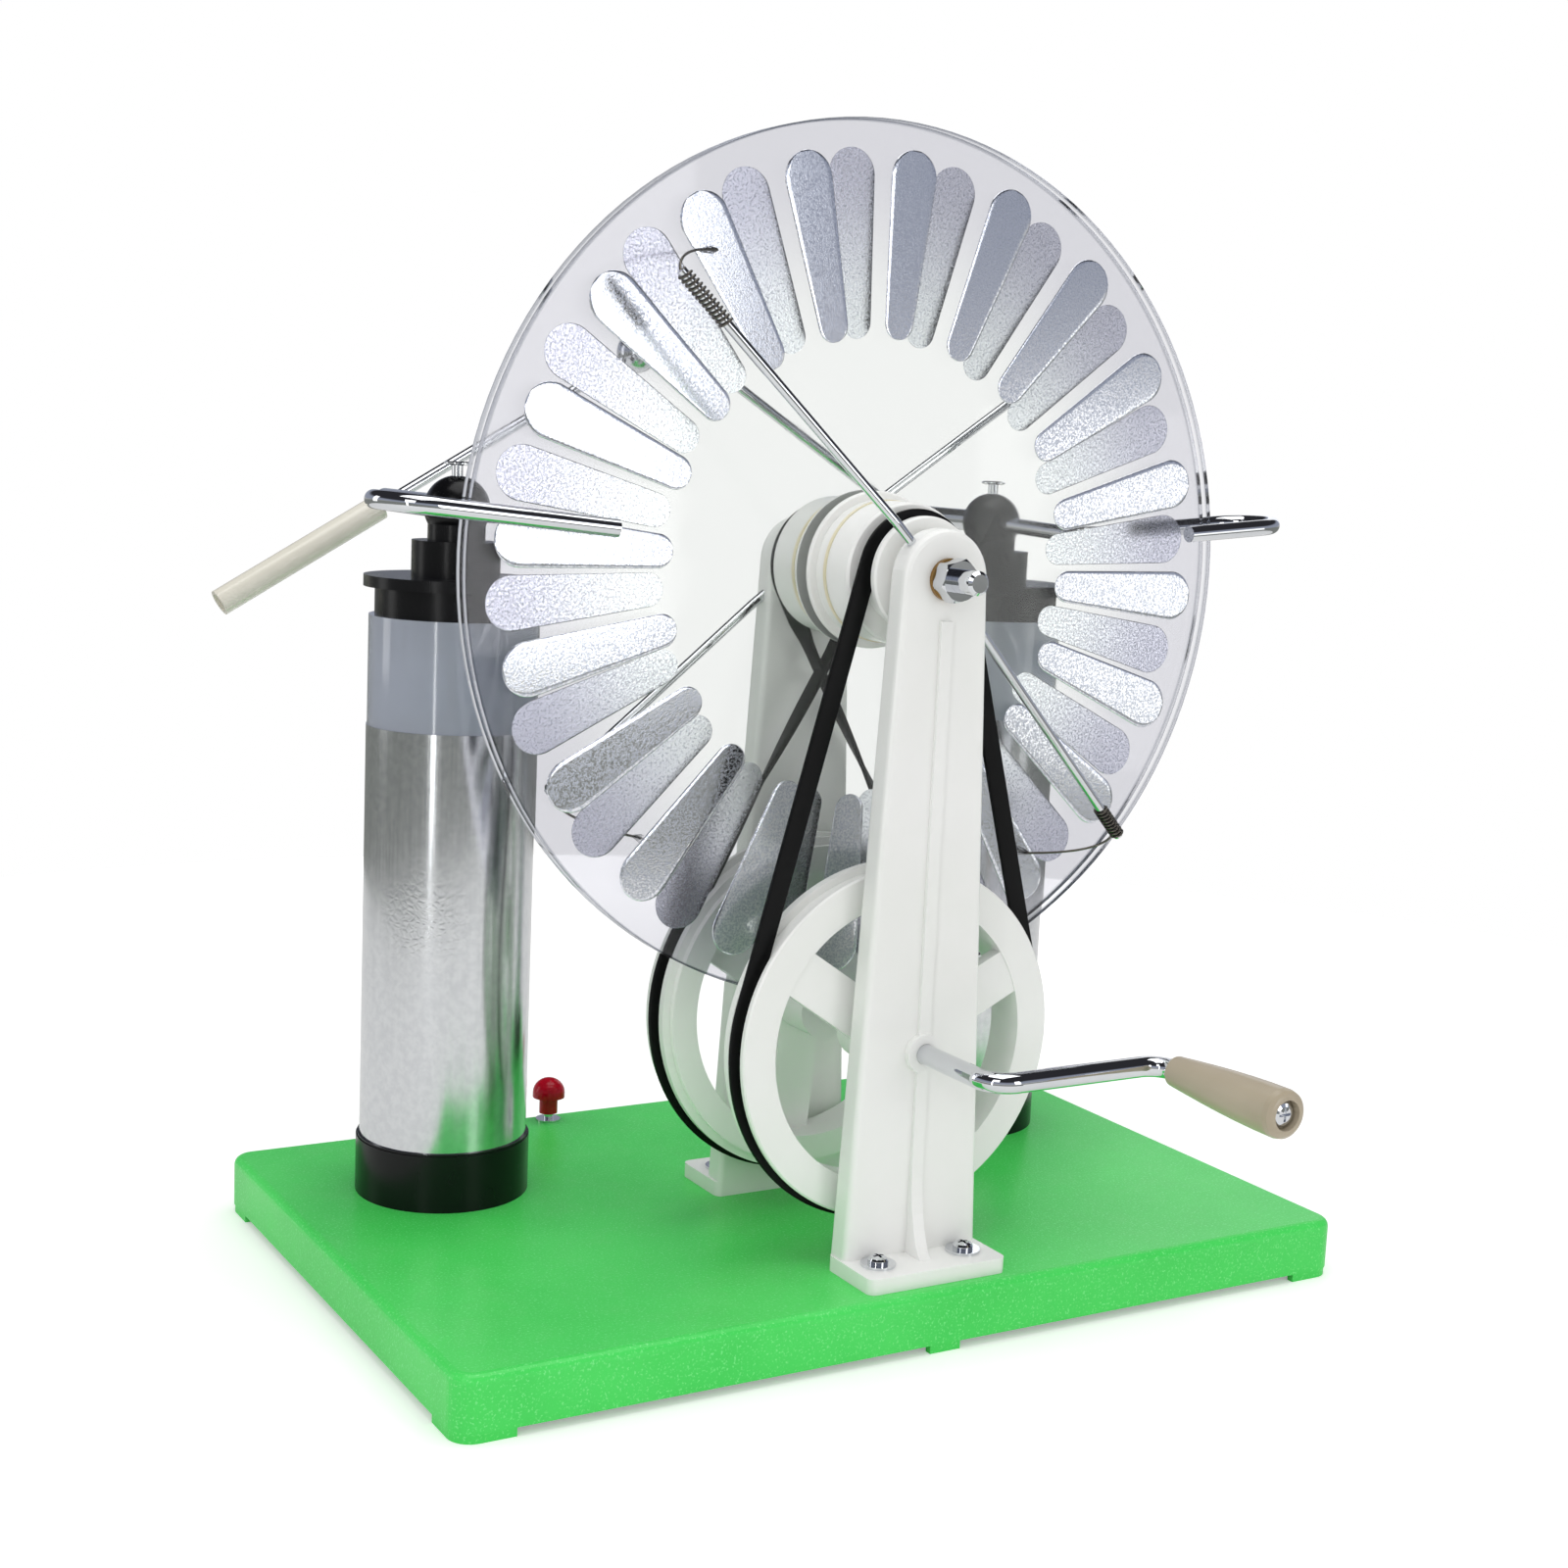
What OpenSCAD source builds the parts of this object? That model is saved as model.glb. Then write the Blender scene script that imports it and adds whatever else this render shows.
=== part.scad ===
// Hand-cranked electrostatic generator with two sectored discs that turn in opposite directions.
// X runs along the base, Y to the back, Z up. The origin is the middle of the base's underside.

/* [Base] */
// Length of the base
base_length = 350; // [300:5:420]
// Depth of the base
base_width = 230; // [195:5:280]
// Height of the base with its feet
base_height = 21.5; // [18:0.5:28]
// Thickness of the base's top
base_top = 3.5; // [2.5:0.5:5]
// Thickness of the base's skirt
base_wall = 3.5; // [2.5:0.5:5]
// Corner radius of the base
base_corner = 8; // [5:0.5:16]
// Rounding of the base's top edge
base_edge = 3; // [1:0.5:4]
// Height of the feet under the skirt
foot_height = 3; // [2:0.5:5]
// Length of each corner foot along the skirt
foot_length = 20; // [12:1:30]
// Thickness of the ribs under the base
rib_thickness = 2; // [1.5:0.5:3]

/* [Discs] */
// Diameter of each disc
disc_diameter = 300; // [250:5:360]
// Thickness of each disc
disc_thickness = 2.5; // [2:0.5:4]
// Air gap between the two discs
disc_gap = 2.5; // [2:0.5:5]
// Number of foil sectors on each disc
sector_count = 20; // [16:2:24]
// Width of the sectors at their outer end
sector_outer_width = 18; // [14:1:20]
// Width of the sectors at their inner end
sector_inner_width = 11.4; // [8:0.2:13]
// Radius at which the sectors begin
sector_start = 78; // [70:1:85]
// Bare rim outside the sectors
sector_rim = 9; // [6:1:15]
// Thickness of the foil
foil_thickness = 0.3; // [0.2:0.05:0.5]

/* [Hubs] */
// Diameter of the hub body
hub_diameter = 48; // [44:1:54]
// Length of the hub body from the disc to the belt groove
hub_length = 21.75; // [16:0.25:28]
// Diameter at the bottom of the hub's belt groove
pulley_diameter = 35; // [30:1:38]
// Thickness of the hub's outer flange
pulley_flange = 2.5; // [2:0.5:4]
// Diameter of the steel axle
axle_diameter = 8; // [6:1:10]

/* [Uprights] */
// Thickness of the column
column_thickness = 9.7; // [8:0.1:14]
// Width of the column at its foot
column_foot_width = 54; // [46:1:60]
// Width of the column at its round head
column_head_width = 32.8; // [28:0.2:40]
// Depth of the foot plate
foot_plate_depth = 27.9; // [24:0.1:34]
// Thickness of the foot plate
foot_plate_thickness = 5.4; // [4:0.2:8]
// Distance between the two screws of one foot
foot_screw_spacing = 34.4; // [30:0.2:40]
// Distance of the front foot plate from the base's front edge
front_margin = 5.8; // [4:0.2:20]

/* [Drive] */
// Outer diameter of the drive wheels
wheel_diameter = 123; // [100:1:140]
// Air between the drive wheels and the base
wheel_clearance = 14; // [8:1:30]
// Width of each wheel spoke
spoke_width = 16.3; // [12:0.1:20]
// Radial height of the wheel's rim
rim_height = 12.2; // [9:0.1:16]
// Width of each belt
belt_width = 7; // [5:0.5:8]
// Thickness of each belt
belt_thickness = 1.8; // [1.2:0.1:2]
// Diameter of the crank rod
crank_diameter = 7; // [6:0.5:9]
// Reach of the crank arm from the shaft to the grip
crank_reach = 68; // [55:1:85]
// Length of the grip
grip_length = 54; // [45:1:70]
// Air between the crank shaft and the edges of the discs
disc_shaft_clearance = 5.7; // [4:0.1:12]

/* [Leyden jars] */
// Outer diameter of the jar tube
jar_diameter = 60; // [50:1:66]
// Wall of the jar tube
jar_wall = 2; // [1.5:0.5:3]
// Distance from the middle of a jar to the end of the base
jar_end_margin = 60; // [45:1:75]
// Distance from the middle of the jars to the middle plane of the discs
jar_setback = 91.2; // [88:0.2:110]
// Bare tube above the outer foil
jar_bare_top = 39; // [30:1:60]
// Height of the ball heads above the axle
head_rise = 13.8; // [10:0.2:20]
// Diameter of the ball heads
head_diameter = 23; // [21:1:28]

/* [Rods] */
// Diameter of the collector forks
fork_diameter = 6; // [5:0.5:7]
// Distance between the middles of a fork's two legs
fork_gap = 28; // [24:1:34]
// Where the left fork's front leg ends, from the middle
left_fork_end = 103; // [90:1:140]
// Where the right fork's front leg ends, from the middle
right_fork_end = 130; // [90:1:140]
// Diameter of the rods that carry the discharge arms
support_diameter = 8.5; // [7:0.5:9]
// Diameter of the discharge rods
arm_diameter = 4; // [3:0.5:5]
// Slope of the discharge rods
arm_angle = 31; // [25:1:40]
// Diameter of the spark balls
ball_diameter = 16; // [12:1:20]
// Spark gap between the balls
spark_gap = 12; // [8:1:20]
// Length of the arm handles
handle_length = 71; // [55:1:85]
// Diameter of the arm handles
handle_diameter = 9.8; // [8:0.2:12]
// Diameter of the neutralizer rods
neutralizer_diameter = 3.3; // [2.5:0.1:4]
// Direction of the front neutralizer
front_neutralizer_angle = 135; // [120:1:145]
// Direction of the rear neutralizer
rear_neutralizer_angle = 37; // [30:1:60]

/* [Hidden] */
$fn = 96;

// Clearances
run_gap = 0.3;                // between pieces that move past each other
bore_gap = 0.05;              // radial, for a shaft that turns in a bore
press_gap = 0.02;             // radial, for a rod pushed into a hole
bead = 0.03;                  // how far a rod swells where a straight stretch meets a bend

// Colours
green = [0.27, 0.85, 0.33];
milky = [0.93, 0.94, 0.92];
cream = [0.93, 0.90, 0.78];
clear = [0.85, 0.89, 0.90, 0.45];
grey_clear = [0.70, 0.72, 0.75, 0.6];
chrome = [0.80, 0.81, 0.83];
foil = [0.76, 0.77, 0.79];
brass = [0.72, 0.60, 0.34];
black = [0.08, 0.08, 0.09];
beige = [0.71, 0.67, 0.61];
red = [0.78, 0.06, 0.09];

// Offsets from the middle plane between the discs, the same to the front and to the rear
disc_r = disc_diameter / 2;
disc_in = disc_gap / 2;
disc_out = disc_in + disc_thickness;
foil_out = disc_out + foil_thickness;
groove_side_gap = 0.5;
groove_in = disc_out + hub_length;
groove_out = groove_in + belt_width + 2 * groove_side_gap;
hub_out = groove_out + pulley_flange;
hub_washer_thickness = 2.8;
column_in = hub_out + run_gap + hub_washer_thickness;
column_mid = column_in + column_thickness / 2;
column_out = column_in + column_thickness;
foot_out = column_in + foot_plate_depth;
belt_mid = (groove_in + groove_out) / 2;

// Heights
wheel_r = wheel_diameter / 2;
crank_r = crank_diameter / 2;
crank_z = base_height + wheel_clearance + wheel_r;
axle_z = crank_z + crank_r + disc_shaft_clearance + disc_r;
axis_gap = axle_z - crank_z;
head_z = axle_z + head_rise;

// Places on the base
disc_mid_y = -base_width / 2 + front_margin + foot_out;
jar_x = base_length / 2 - jar_end_margin;
jar_y = disc_mid_y + jar_setback;
screw_washer_r = 6;
foot_screw_y = column_out + screw_washer_r + run_gap;
terminal_x = 46;
terminal_margin = 8;          // from the base's back edge to the terminals
terminal_y = base_width / 2 - terminal_margin;

// Hubs and belts
axle_r = axle_diameter / 2;
axle_bore_r = axle_r + bore_gap;
hub_r = hub_diameter / 2;
pulley_r = pulley_diameter / 2;
groove_depth = 2.5;
hub_spigot_r = 12;
hub_ring_width = 1.6;
hub_ring_depth = 2;
hub_ring_proud = 0.3;
hub_ring_in = disc_out + 6.5;
wheel_groove_depth = 2.8;
wheel_groove_r = wheel_r - wheel_groove_depth;
pulley_belt_r = pulley_r + run_gap + belt_thickness / 2;
wheel_belt_r = wheel_groove_r + run_gap + belt_thickness / 2;

// Drive wheels
wheel_flange = 2.3;
wheel_back = 5.7;             // from the groove to the wheel's inner face
wheel_in = groove_in - wheel_back;
wheel_out = groove_out + wheel_flange;
wheel_back_flange = 3;
spoke_thickness = 5;
spoke_recess = 0.5;
spoke_angles = [26, 146, 266];
wheel_hub_r = 11;
wheel_hub_in = 12;
set_screw_r = 2;
set_screw_offset = 16;

// Crank and grip
crank_arm_out = 91;           // from the middle plane to the middle of the crank arm
crank_tail = 3;               // shaft beyond the rear upright
crank_bend = 9;
grip_bend = 8;
spindle_r = 2.5;
spindle_step = 0.3;
grip_in = crank_arm_out + grip_bend + spindle_step;
grip_out = grip_in + grip_length;
grip_root_r = 5.25;
grip_end_r = 8.2;
grip_recess_depth = 3.4;
grip_recess_r = 5;
grip_screw_r = 4.2;
grip_screw_height = 2;

// Screws, nuts and washers
screw_r = 2;
screw_head_r = 3.5;
screw_head_height = 2.4;
screw_washer_thickness = 0.9;
screw_depth = 11;             // of the foot screws below the base's top
slot_width = 0.9;
slot_depth = 1.1;
boss_r = 5.5;
rib_bottom = foot_height + 3;
nut_flats = 13;
nut_height = 6.5;
spring_washer_r = 7;
spring_washer_thickness = 1.6;
stud_end = 67.3;              // from the middle plane to each end of the axle stud
stud_chamfer = 1;
hub_washer_r = 8.5;

// Uprights
head_r = column_head_width / 2;
edge_r = 2;
edge_steps = 3;
rib_width = 4.4;
rib_proud = 1.5;
rib_top_below_axle = 12.2;
gusset_height = 34;
gusset_depth = 10;
crank_boss_r = 6.8;
crank_boss_proud = 2.6;
foot_corner = 3;

// Neutralizers
neutralizer_r = neutralizer_diameter / 2;
neutralizer_start = 5.5;      // from the axle's middle to the plugged end
neutralizer_knee = 26;
neutralizer_end = disc_r - 19;
neutralizer_end_out = 31;
front_coil = [22, 15];        // length of the coil on each end of the front neutralizer
rear_coil = [18, 18];
wire_r = 0.45;
coil_pitch = 1.4;
coil_steps = 8;
coil_r = (neutralizer_r + 0.05) / cos(180 / coil_steps) + wire_r;
coil_sides = 5;
brush_reach = 24;             // how far the brush trails round the disc
brush_radius = disc_r - 30;
bristle_length = 5;

// Jars
jar_r = jar_diameter / 2;
cup_wall = 1.15;
cup_height = 21.5;
cup_floor = 5;
cup_gap = 0.05;
foil_cup_gap = 0.5;
cup_inner_r = jar_r + foil_thickness + cup_gap;
cup_r = cup_inner_r + cup_wall;
lid_collar = 10;
lid_plug_depth = 12;
lid_flange = 4;
lid_flange_r = jar_r + 2;
lid_step_r = 15.5;
lid_step_height = 12.6;
post_r = 10;
post_height = 11.4;           // from the lid's step to the middle of the ball
tube_bottom = base_height + cup_floor;
tube_top = head_z - post_height - lid_step_height - lid_flange - lid_collar;
foil_top = tube_top - jar_bare_top;
head_ball_r = head_diameter / 2;
electrode_r = 2;
electrode_bottom = tube_bottom + 9;
electrode_top = head_z - 6;
leaf_height = 20;             // of the contact leaves above the electrode's lower end
leaf_width = 3;
leaf_thickness = 0.6;
thumb_r = 2;
thumb_cap_r = 4.8;
thumb_cap_height = 1.4;
thumb_cap_rise = 3.5;

// Forks and arms
fork_r = fork_diameter / 2;
fork_tilt = 5;
fork_socket = 4.5;            // from the middle of the ball to the fork's plugged end
fork_knee_in = 15;            // how far the fork's stem leans in towards the axle
fork_knee_bend = 8;
fork_knee_steps = 9;
fork_neck_sides = 24;
fork_neck_end = 16;            // from the knee's corner to where the leg is straight
fork_neck_lap = 2;             // how far the neck runs on inside the leg
fork_loop_out = 28;           // from the disc's edge to the far end of the loop
pin_r = 0.9;
pin_count = 3;
pin_pitch = 9;
support_r = support_diameter / 2;
support_inner_end = 3.5;      // from the middle of the ball towards the discs
support_back = 66;            // from the middle of the ball to the arm's plane
support_tail = 6;
arm_r = arm_diameter / 2;
ball_r = ball_diameter / 2;
arm_run = jar_x - spark_gap / 2 - ball_r;
arm_length = arm_run / cos(arm_angle);
handle_r = handle_diameter / 2;
handle_wall = 1.4;
handle_start = support_r + 0.8;
rod_in_handle = 45;

// Terminals
terminal_stud_r = 2;
terminal_washer_r = 5;
terminal_washer_thickness = 0.8;
terminal_knob_lift = 3.2;     // of the knob's underside above the base
terminal_neck_r = 3.7;
terminal_neck_height = 6;
terminal_cap_r = 6.5;
terminal_cap_height = 8.5;
terminal_head_flats = 8;
terminal_head_height = 2.5;

function unit(v) = v / norm(v);
function mix(a, b, f) = a + (b - a) * f;
function ease(f) = f * f * (3 - 2 * f);
function heading(a, b) = atan2(b[1] - a[1], b[0] - a[0]);
function turn(a) = a > 180 ? a - 360 : a < -180 ? a + 360 : a;

// Outline of a rectangle with round corners, centred
function rounded_rect(w, d, r, steps = 8) = [
    for (c = [[1, 1, 0], [-1, 1, 90], [-1, -1, 180], [1, -1, 270]])
        for (k = [0 : steps])
            let (a = c[2] + 90 * k / steps)
            [c[0] * (w / 2 - r) + r * cos(a), c[1] * (d / 2 - r) + r * sin(a)]
];

// Side faces between rings of points, with end caps or closed into a loop
function ring_faces(rings, sides, closed) = concat(
    [for (i = [0 : rings - (closed ? 1 : 2)]) for (k = [0 : sides - 1])
        let (j = (i + 1) % rings, n = (k + 1) % sides)
        [i * sides + k, j * sides + k, j * sides + n]],
    [for (i = [0 : rings - (closed ? 1 : 2)]) for (k = [0 : sides - 1])
        let (j = (i + 1) % rings, n = (k + 1) % sides)
        [i * sides + k, j * sides + n, i * sides + n]],
    closed ? [] : [[for (k = [0 : sides - 1]) k]],
    closed ? [] : [[for (k = [0 : sides - 1]) rings * sides - 1 - k]]
);

// A round wire along a path. No stretch of the path may run along the reference direction.
module wire(path, r, sides, reference) {
    last = len(path) - 1;
    points = [
        for (i = [0 : last])
            let (
                t = unit(path[min(i + 1, last)] - path[max(i - 1, 0)]),
                u = unit(cross(t, reference)),
                v = cross(t, u)
            )
            for (k = [0 : sides - 1])
                path[i] + r * (cos(360 * k / sides) * u + sin(360 * k / sides) * v)
    ];
    polyhedron(points, ring_faces(last + 1, sides, false));
}

// A rod bent in the XY plane, with one bend radius for each corner
module bent_rod(points, bends, r) {
    last = len(points) - 1;
    headings = [for (i = [0 : last - 1]) heading(points[i], points[i + 1])];
    trims = [for (i = [0 : last])
        i == 0 || i == last ? 0 : bends[i - 1] * tan(abs(turn(headings[i] - headings[i - 1])) / 2)];
    for (i = [0 : last - 1]) {
        length = norm(points[i + 1] - points[i]) - trims[i] - trims[i + 1];
        if (length > 0.01)
            translate(points[i])
                rotate([0, 0, headings[i]])
                    translate([trims[i], 0, 0])
                        rotate([0, 90, 0])
                            cylinder(r = r, h = length);
    }
    for (i = [1 : last - 1]) {
        angle = turn(headings[i] - headings[i - 1]);
        side = sign(angle);
        translate(points[i])
            rotate([0, 0, headings[i - 1]])
                translate([-trims[i], side * bends[i - 1], 0])
                    rotate([0, 0, side > 0 ? -90 : 90 + angle])
                        rotate_extrude(angle = abs(angle), $fn = 48)
                            translate([bends[i - 1], 0])
                                circle(r = r);
        // A bend that leaves the square directions is joined to its neighbours by beads
        if (headings[i - 1] % 90 != 0 || headings[i] % 90 != 0)
            for (end = [[headings[i - 1], -trims[i]], [headings[i], trims[i]]])
                translate(points[i])
                    rotate([0, 0, end[0]])
                        translate([end[1], 0, 0])
                            rotate([0, 90, 0])
                                sphere(r = r + bead, $fn = 48);
    }
}

// Places children on the disc axle: X to the right, Y up, Z away from the middle plane
module front_side() {
    translate([0, disc_mid_y, axle_z]) rotate([90, 0, 0]) children();
}

module rear_side() {
    translate([0, disc_mid_y, axle_z]) rotate([90, 0, 0]) mirror([0, 0, 1]) children();
}

module both_sides() {
    front_side() children();
    rear_side() children();
}

module tube(outer_r, inner_r, height) {
    difference() {
        cylinder(r = outer_r, h = height);
        translate([0, 0, -1]) cylinder(r = inner_r, h = height + 2);
    }
}

module hexagon(flats, height) {
    cylinder(d = flats / cos(30), h = height, $fn = 6);
}

module cross_slot(length) {
    for (turned = [0, 90])
        rotate([0, 0, turned])
            translate([-length / 2, -slot_width / 2, -slot_depth])
                cube([length, slot_width, slot_depth + 1]);
}

// A pan head with a cross slot, its underside at zero
module pan_head(r, height) {
    difference() {
        rotate_extrude()
            polygon([[0, 0], [r, 0], [r, height * 0.45], [r * 0.86, height * 0.75],
                [r * 0.6, height * 0.93], [r * 0.3, height], [0, height]]);
        translate([0, 0, height]) cross_slot(r * 1.1);
    }
}

module foot_screw_places() {
    for (side = [-1, 1], x = [-1, 1])
        translate([x * foot_screw_spacing / 2, disc_mid_y + side * foot_screw_y, base_height])
            children();
}

module jar_places() {
    for (x = [-1, 1])
        translate([x * jar_x, jar_y, 0]) children();
}

module terminal_places() {
    for (x = [-1, 1])
        translate([x * terminal_x, terminal_y, 0]) children();
}

// ---- Base ----

module base_outline(inset) {
    polygon(rounded_rect(base_length - 2 * inset, base_width - 2 * inset, base_corner - inset));
}

module base_body() {
    hull() {
        translate([0, 0, foot_height])
            linear_extrude(base_height - base_edge - foot_height) base_outline(0);
        for (k = [1 : edge_steps + 1])
            let (a = 90 * k / (edge_steps + 1))
            translate([0, 0, foot_height])
                linear_extrude(base_height - foot_height - base_edge * (1 - sin(a)))
                    base_outline(base_edge * (1 - cos(a)));
    }
}

module base_ribs() {
    inner_length = base_length - 2 * base_wall;
    inner_width = base_width - 2 * base_wall;
    columns = ceil(inner_length / 35);
    rows = ceil(inner_width / 33);
    height = base_height - rib_bottom - base_top + 1;
    for (i = [1 : columns - 1])
        translate([inner_length * (i / columns - 0.5) - rib_thickness / 2, -inner_width / 2 - 1, rib_bottom])
            cube([rib_thickness, inner_width + 2, height]);
    for (i = [1 : rows - 1])
        translate([-inner_length / 2 - 1, inner_width * (i / rows - 0.5) - rib_thickness / 2, rib_bottom])
            cube([inner_length + 2, rib_thickness, height]);
}

module base_feet() {
    lip_inset = 0.4;
    middle_length = foot_length * 0.6;
    intersection() {
        linear_extrude(foot_height + 1)
            difference() {
                base_outline(lip_inset);
                base_outline(base_wall - lip_inset);
            }
        union() {
            for (x = [-1, 1], y = [-1, 1])
                translate([x * base_length / 2, y * base_width / 2, 0])
                    cube([2 * foot_length, 2 * foot_length, 3 * foot_height], center = true);
            cube([middle_length, base_width + 2, 3 * foot_height], center = true);
        }
    }
}

module base_plate() color(green) {
    boss_height = base_height - rib_bottom - base_top + 1;
    difference() {
        union() {
            difference() {
                base_body();
                translate([0, 0, foot_height - 1])
                    linear_extrude(base_height - base_top - foot_height + 1) base_outline(base_wall);
            }
            base_ribs();
            base_feet();
            cylinder(r = boss_r + 2, h = base_height - base_top + 1);
            foot_screw_places()
                translate([0, 0, rib_bottom - base_height]) cylinder(r = boss_r, h = boss_height);
            jar_places() translate([0, 0, rib_bottom]) cylinder(r = boss_r, h = boss_height);
            terminal_places() translate([0, 0, rib_bottom]) cylinder(r = boss_r, h = boss_height);
        }
        foot_screw_places() translate([0, 0, -screw_depth - 0.5]) cylinder(r = screw_r + press_gap, h = 20);
        jar_places() cylinder(r = screw_r + press_gap, h = base_height + 1);
        terminal_places() cylinder(r = terminal_stud_r + press_gap, h = base_height + 1);
    }
}

// ---- Uprights ----

module column() {
    foot_y = base_height - axle_z;
    hull() {
        for (k = [0 : edge_steps])
            let (inset = edge_r * (1 - sin(90 * k / edge_steps)), rise = edge_r * (1 - cos(90 * k / edge_steps)))
            translate([0, 0, column_in + rise])
                cylinder(r = head_r - inset, h = column_thickness - 2 * rise, $fn = 40);
        for (x = [-1, 1], z = [column_in + edge_r, column_out - edge_r])
            translate([x * (column_foot_width / 2 - edge_r), foot_y, z])
                rotate([-90, 0, 0]) cylinder(r = edge_r, h = 1, $fn = 24);
    }
}

module column_rib() {
    foot_y = base_height - axle_z;
    rib_out = column_out + rib_proud;
    profile = concat(
        [[column_in + 1, -rib_top_below_axle], [rib_out, -rib_top_below_axle - rib_proud]],
        [for (k = [0 : 8])
            let (a = 90 * k / 8)
            [rib_out + gusset_depth * (1 - cos(a)), foot_y + gusset_height * (1 - sin(a)) + foot_plate_thickness - 1]],
        [[column_in + 1, foot_y + foot_plate_thickness - 1]]
    );
    translate([rib_width / 2, 0, 0])
        rotate([0, -90, 0])
            linear_extrude(rib_width)
                polygon(profile);
}

module foot_plate() {
    translate([0, base_height - axle_z, column_in + foot_plate_depth / 2])
        rotate([-90, 0, 0])
            linear_extrude(foot_plate_thickness)
                polygon(rounded_rect(column_foot_width + 1, foot_plate_depth, foot_corner));
}

module upright(neutralizer_angle) color(milky) {
    difference() {
        union() {
            column();
            column_rib();
            foot_plate();
            translate([0, -axis_gap, column_in + 1])
                cylinder(r = crank_boss_r, h = column_thickness - 1 + crank_boss_proud);
        }
        translate([0, 0, column_in - 1]) cylinder(r = axle_bore_r, h = column_thickness + 5);
        translate([0, -axis_gap, column_in - 1])
            cylinder(r = crank_r + bore_gap, h = column_thickness + crank_boss_proud + 5);
        for (x = [-1, 1])
            translate([x * foot_screw_spacing / 2, base_height - axle_z - 1, foot_screw_y])
                rotate([-90, 0, 0]) cylinder(r = screw_r + 0.3, h = foot_plate_thickness + 8);
        for (a = [0, 180])
            rotate([0, 0, neutralizer_angle + a])
                translate([neutralizer_start - 0.1, 0, column_mid])
                    rotate([0, 90, 0]) cylinder(r = neutralizer_r + press_gap, h = 2 * head_r);
    }
}

module front_upright() {
    front_side() upright(front_neutralizer_angle);
}

module rear_upright() {
    rear_side() upright(rear_neutralizer_angle);
}

module upright_washers() color(chrome) {
    foot_screw_places()
        translate([0, 0, foot_plate_thickness])
            tube(screw_washer_r, screw_r + 0.2, screw_washer_thickness);
}

module upright_screws() color(chrome) {
    foot_screw_places() {
        translate([0, 0, -screw_depth])
            cylinder(r = screw_r, h = screw_depth + foot_plate_thickness + screw_washer_thickness + 0.5);
        translate([0, 0, foot_plate_thickness + screw_washer_thickness])
            pan_head(screw_head_r, screw_head_height);
    }
}

// ---- Axle, hubs and discs ----

module axle_stud() color(chrome) {
    front_side()
        rotate_extrude()
            polygon([[0, -stud_end], [axle_r - stud_chamfer, -stud_end], [axle_r, stud_chamfer - stud_end],
                [axle_r, stud_end - stud_chamfer], [axle_r - stud_chamfer, stud_end], [0, stud_end]]);
}

module axle_nuts() color(chrome) {
    corner_r = nut_flats / 2 / cos(30);
    both_sides()
        translate([0, 0, column_out + spring_washer_thickness])
            difference() {
                intersection() {
                    rotate([0, 0, 15]) hexagon(nut_flats, nut_height);
                    rotate_extrude()
                        polygon([[0, 0], [corner_r - 0.9, 0], [corner_r, 0.8], [corner_r, nut_height - 0.8],
                            [corner_r - 0.9, nut_height], [0, nut_height]]);
                }
                translate([0, 0, -1]) cylinder(r = axle_r + press_gap, h = nut_height + 2);
            }
}

module axle_spring_washers() color(brass) {
    both_sides()
        translate([0, 0, column_out])
            difference() {
                tube(spring_washer_r, axle_r + press_gap, spring_washer_thickness);
                rotate([0, 0, 70])
                    translate([axle_r - 0.5, -0.4, -1])
                        cube([spring_washer_r, 0.8, spring_washer_thickness + 2]);
            }
}

module hub_washers() color(brass) {
    both_sides()
        translate([0, 0, hub_out + run_gap])
            tube(hub_washer_r, axle_r + press_gap, hub_washer_thickness);
}

module disc_spacer() color(chrome) {
    length = 2 * (disc_in - run_gap);
    front_side()
        translate([0, 0, -length / 2])
            tube(axle_r + 3, axle_r + press_gap, length);
}

module disc() color(clear) {
    translate([0, 0, disc_in]) tube(disc_r, hub_spigot_r, disc_thickness);
}

module front_disc() {
    front_side() disc();
}

module rear_disc() {
    rear_side() disc();
}

// One foil: straight sides along the radius, with a round inner and a round outer end
function sector_outline() =
    let (
        outer_r = sector_outer_width / 2,
        inner_r = sector_inner_width / 2,
        outer_x = disc_r - sector_rim - outer_r,
        inner_x = sector_start + inner_r,
        lean = asin((outer_r - inner_r) / (outer_x - inner_x))
    )
    concat(
        [for (k = [0 : 9]) let (a = mix(-90 - lean, 90 + lean, k / 9)) [outer_x + outer_r * cos(a), outer_r * sin(a)]],
        [for (k = [0 : 7]) let (a = mix(90 + lean, 270 - lean, k / 7)) [inner_x + inner_r * cos(a), inner_r * sin(a)]]
    );

module sectors(first_angle) color(foil) {
    for (i = [0 : sector_count - 1])
        rotate([0, 0, first_angle + 360 * i / sector_count])
            translate([0, 0, disc_out])
                linear_extrude(foil_thickness)
                    polygon(sector_outline());
}

module front_sectors() {
    front_side() sectors(14.4);
}

module rear_sectors() {
    rear_side() sectors(5.4);
}

module hub() color(milky) {
    lip = hub_r + 3;
    ring_out = hub_ring_in + hub_ring_width;
    rotate_extrude()
        polygon([[axle_bore_r, disc_in], [hub_spigot_r, disc_in], [hub_spigot_r, disc_out],
            [lip, disc_out], [lip, disc_out + 0.9], [lip - 0.6, disc_out + 1.5], [hub_r, disc_out + 1.5],
            [hub_r, hub_ring_in], [hub_r - hub_ring_depth, hub_ring_in], [hub_r - hub_ring_depth, ring_out],
            [hub_r, ring_out], [hub_r, groove_in - 0.8], [hub_r - 0.8, groove_in],
            [pulley_r, groove_in], [pulley_r, groove_out],
            [pulley_r + groove_depth, groove_out], [pulley_r + groove_depth, hub_out - 0.7],
            [pulley_r + groove_depth - 0.7, hub_out], [axle_bore_r, hub_out]]);
}

module front_hub() {
    front_side() hub();
}

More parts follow.
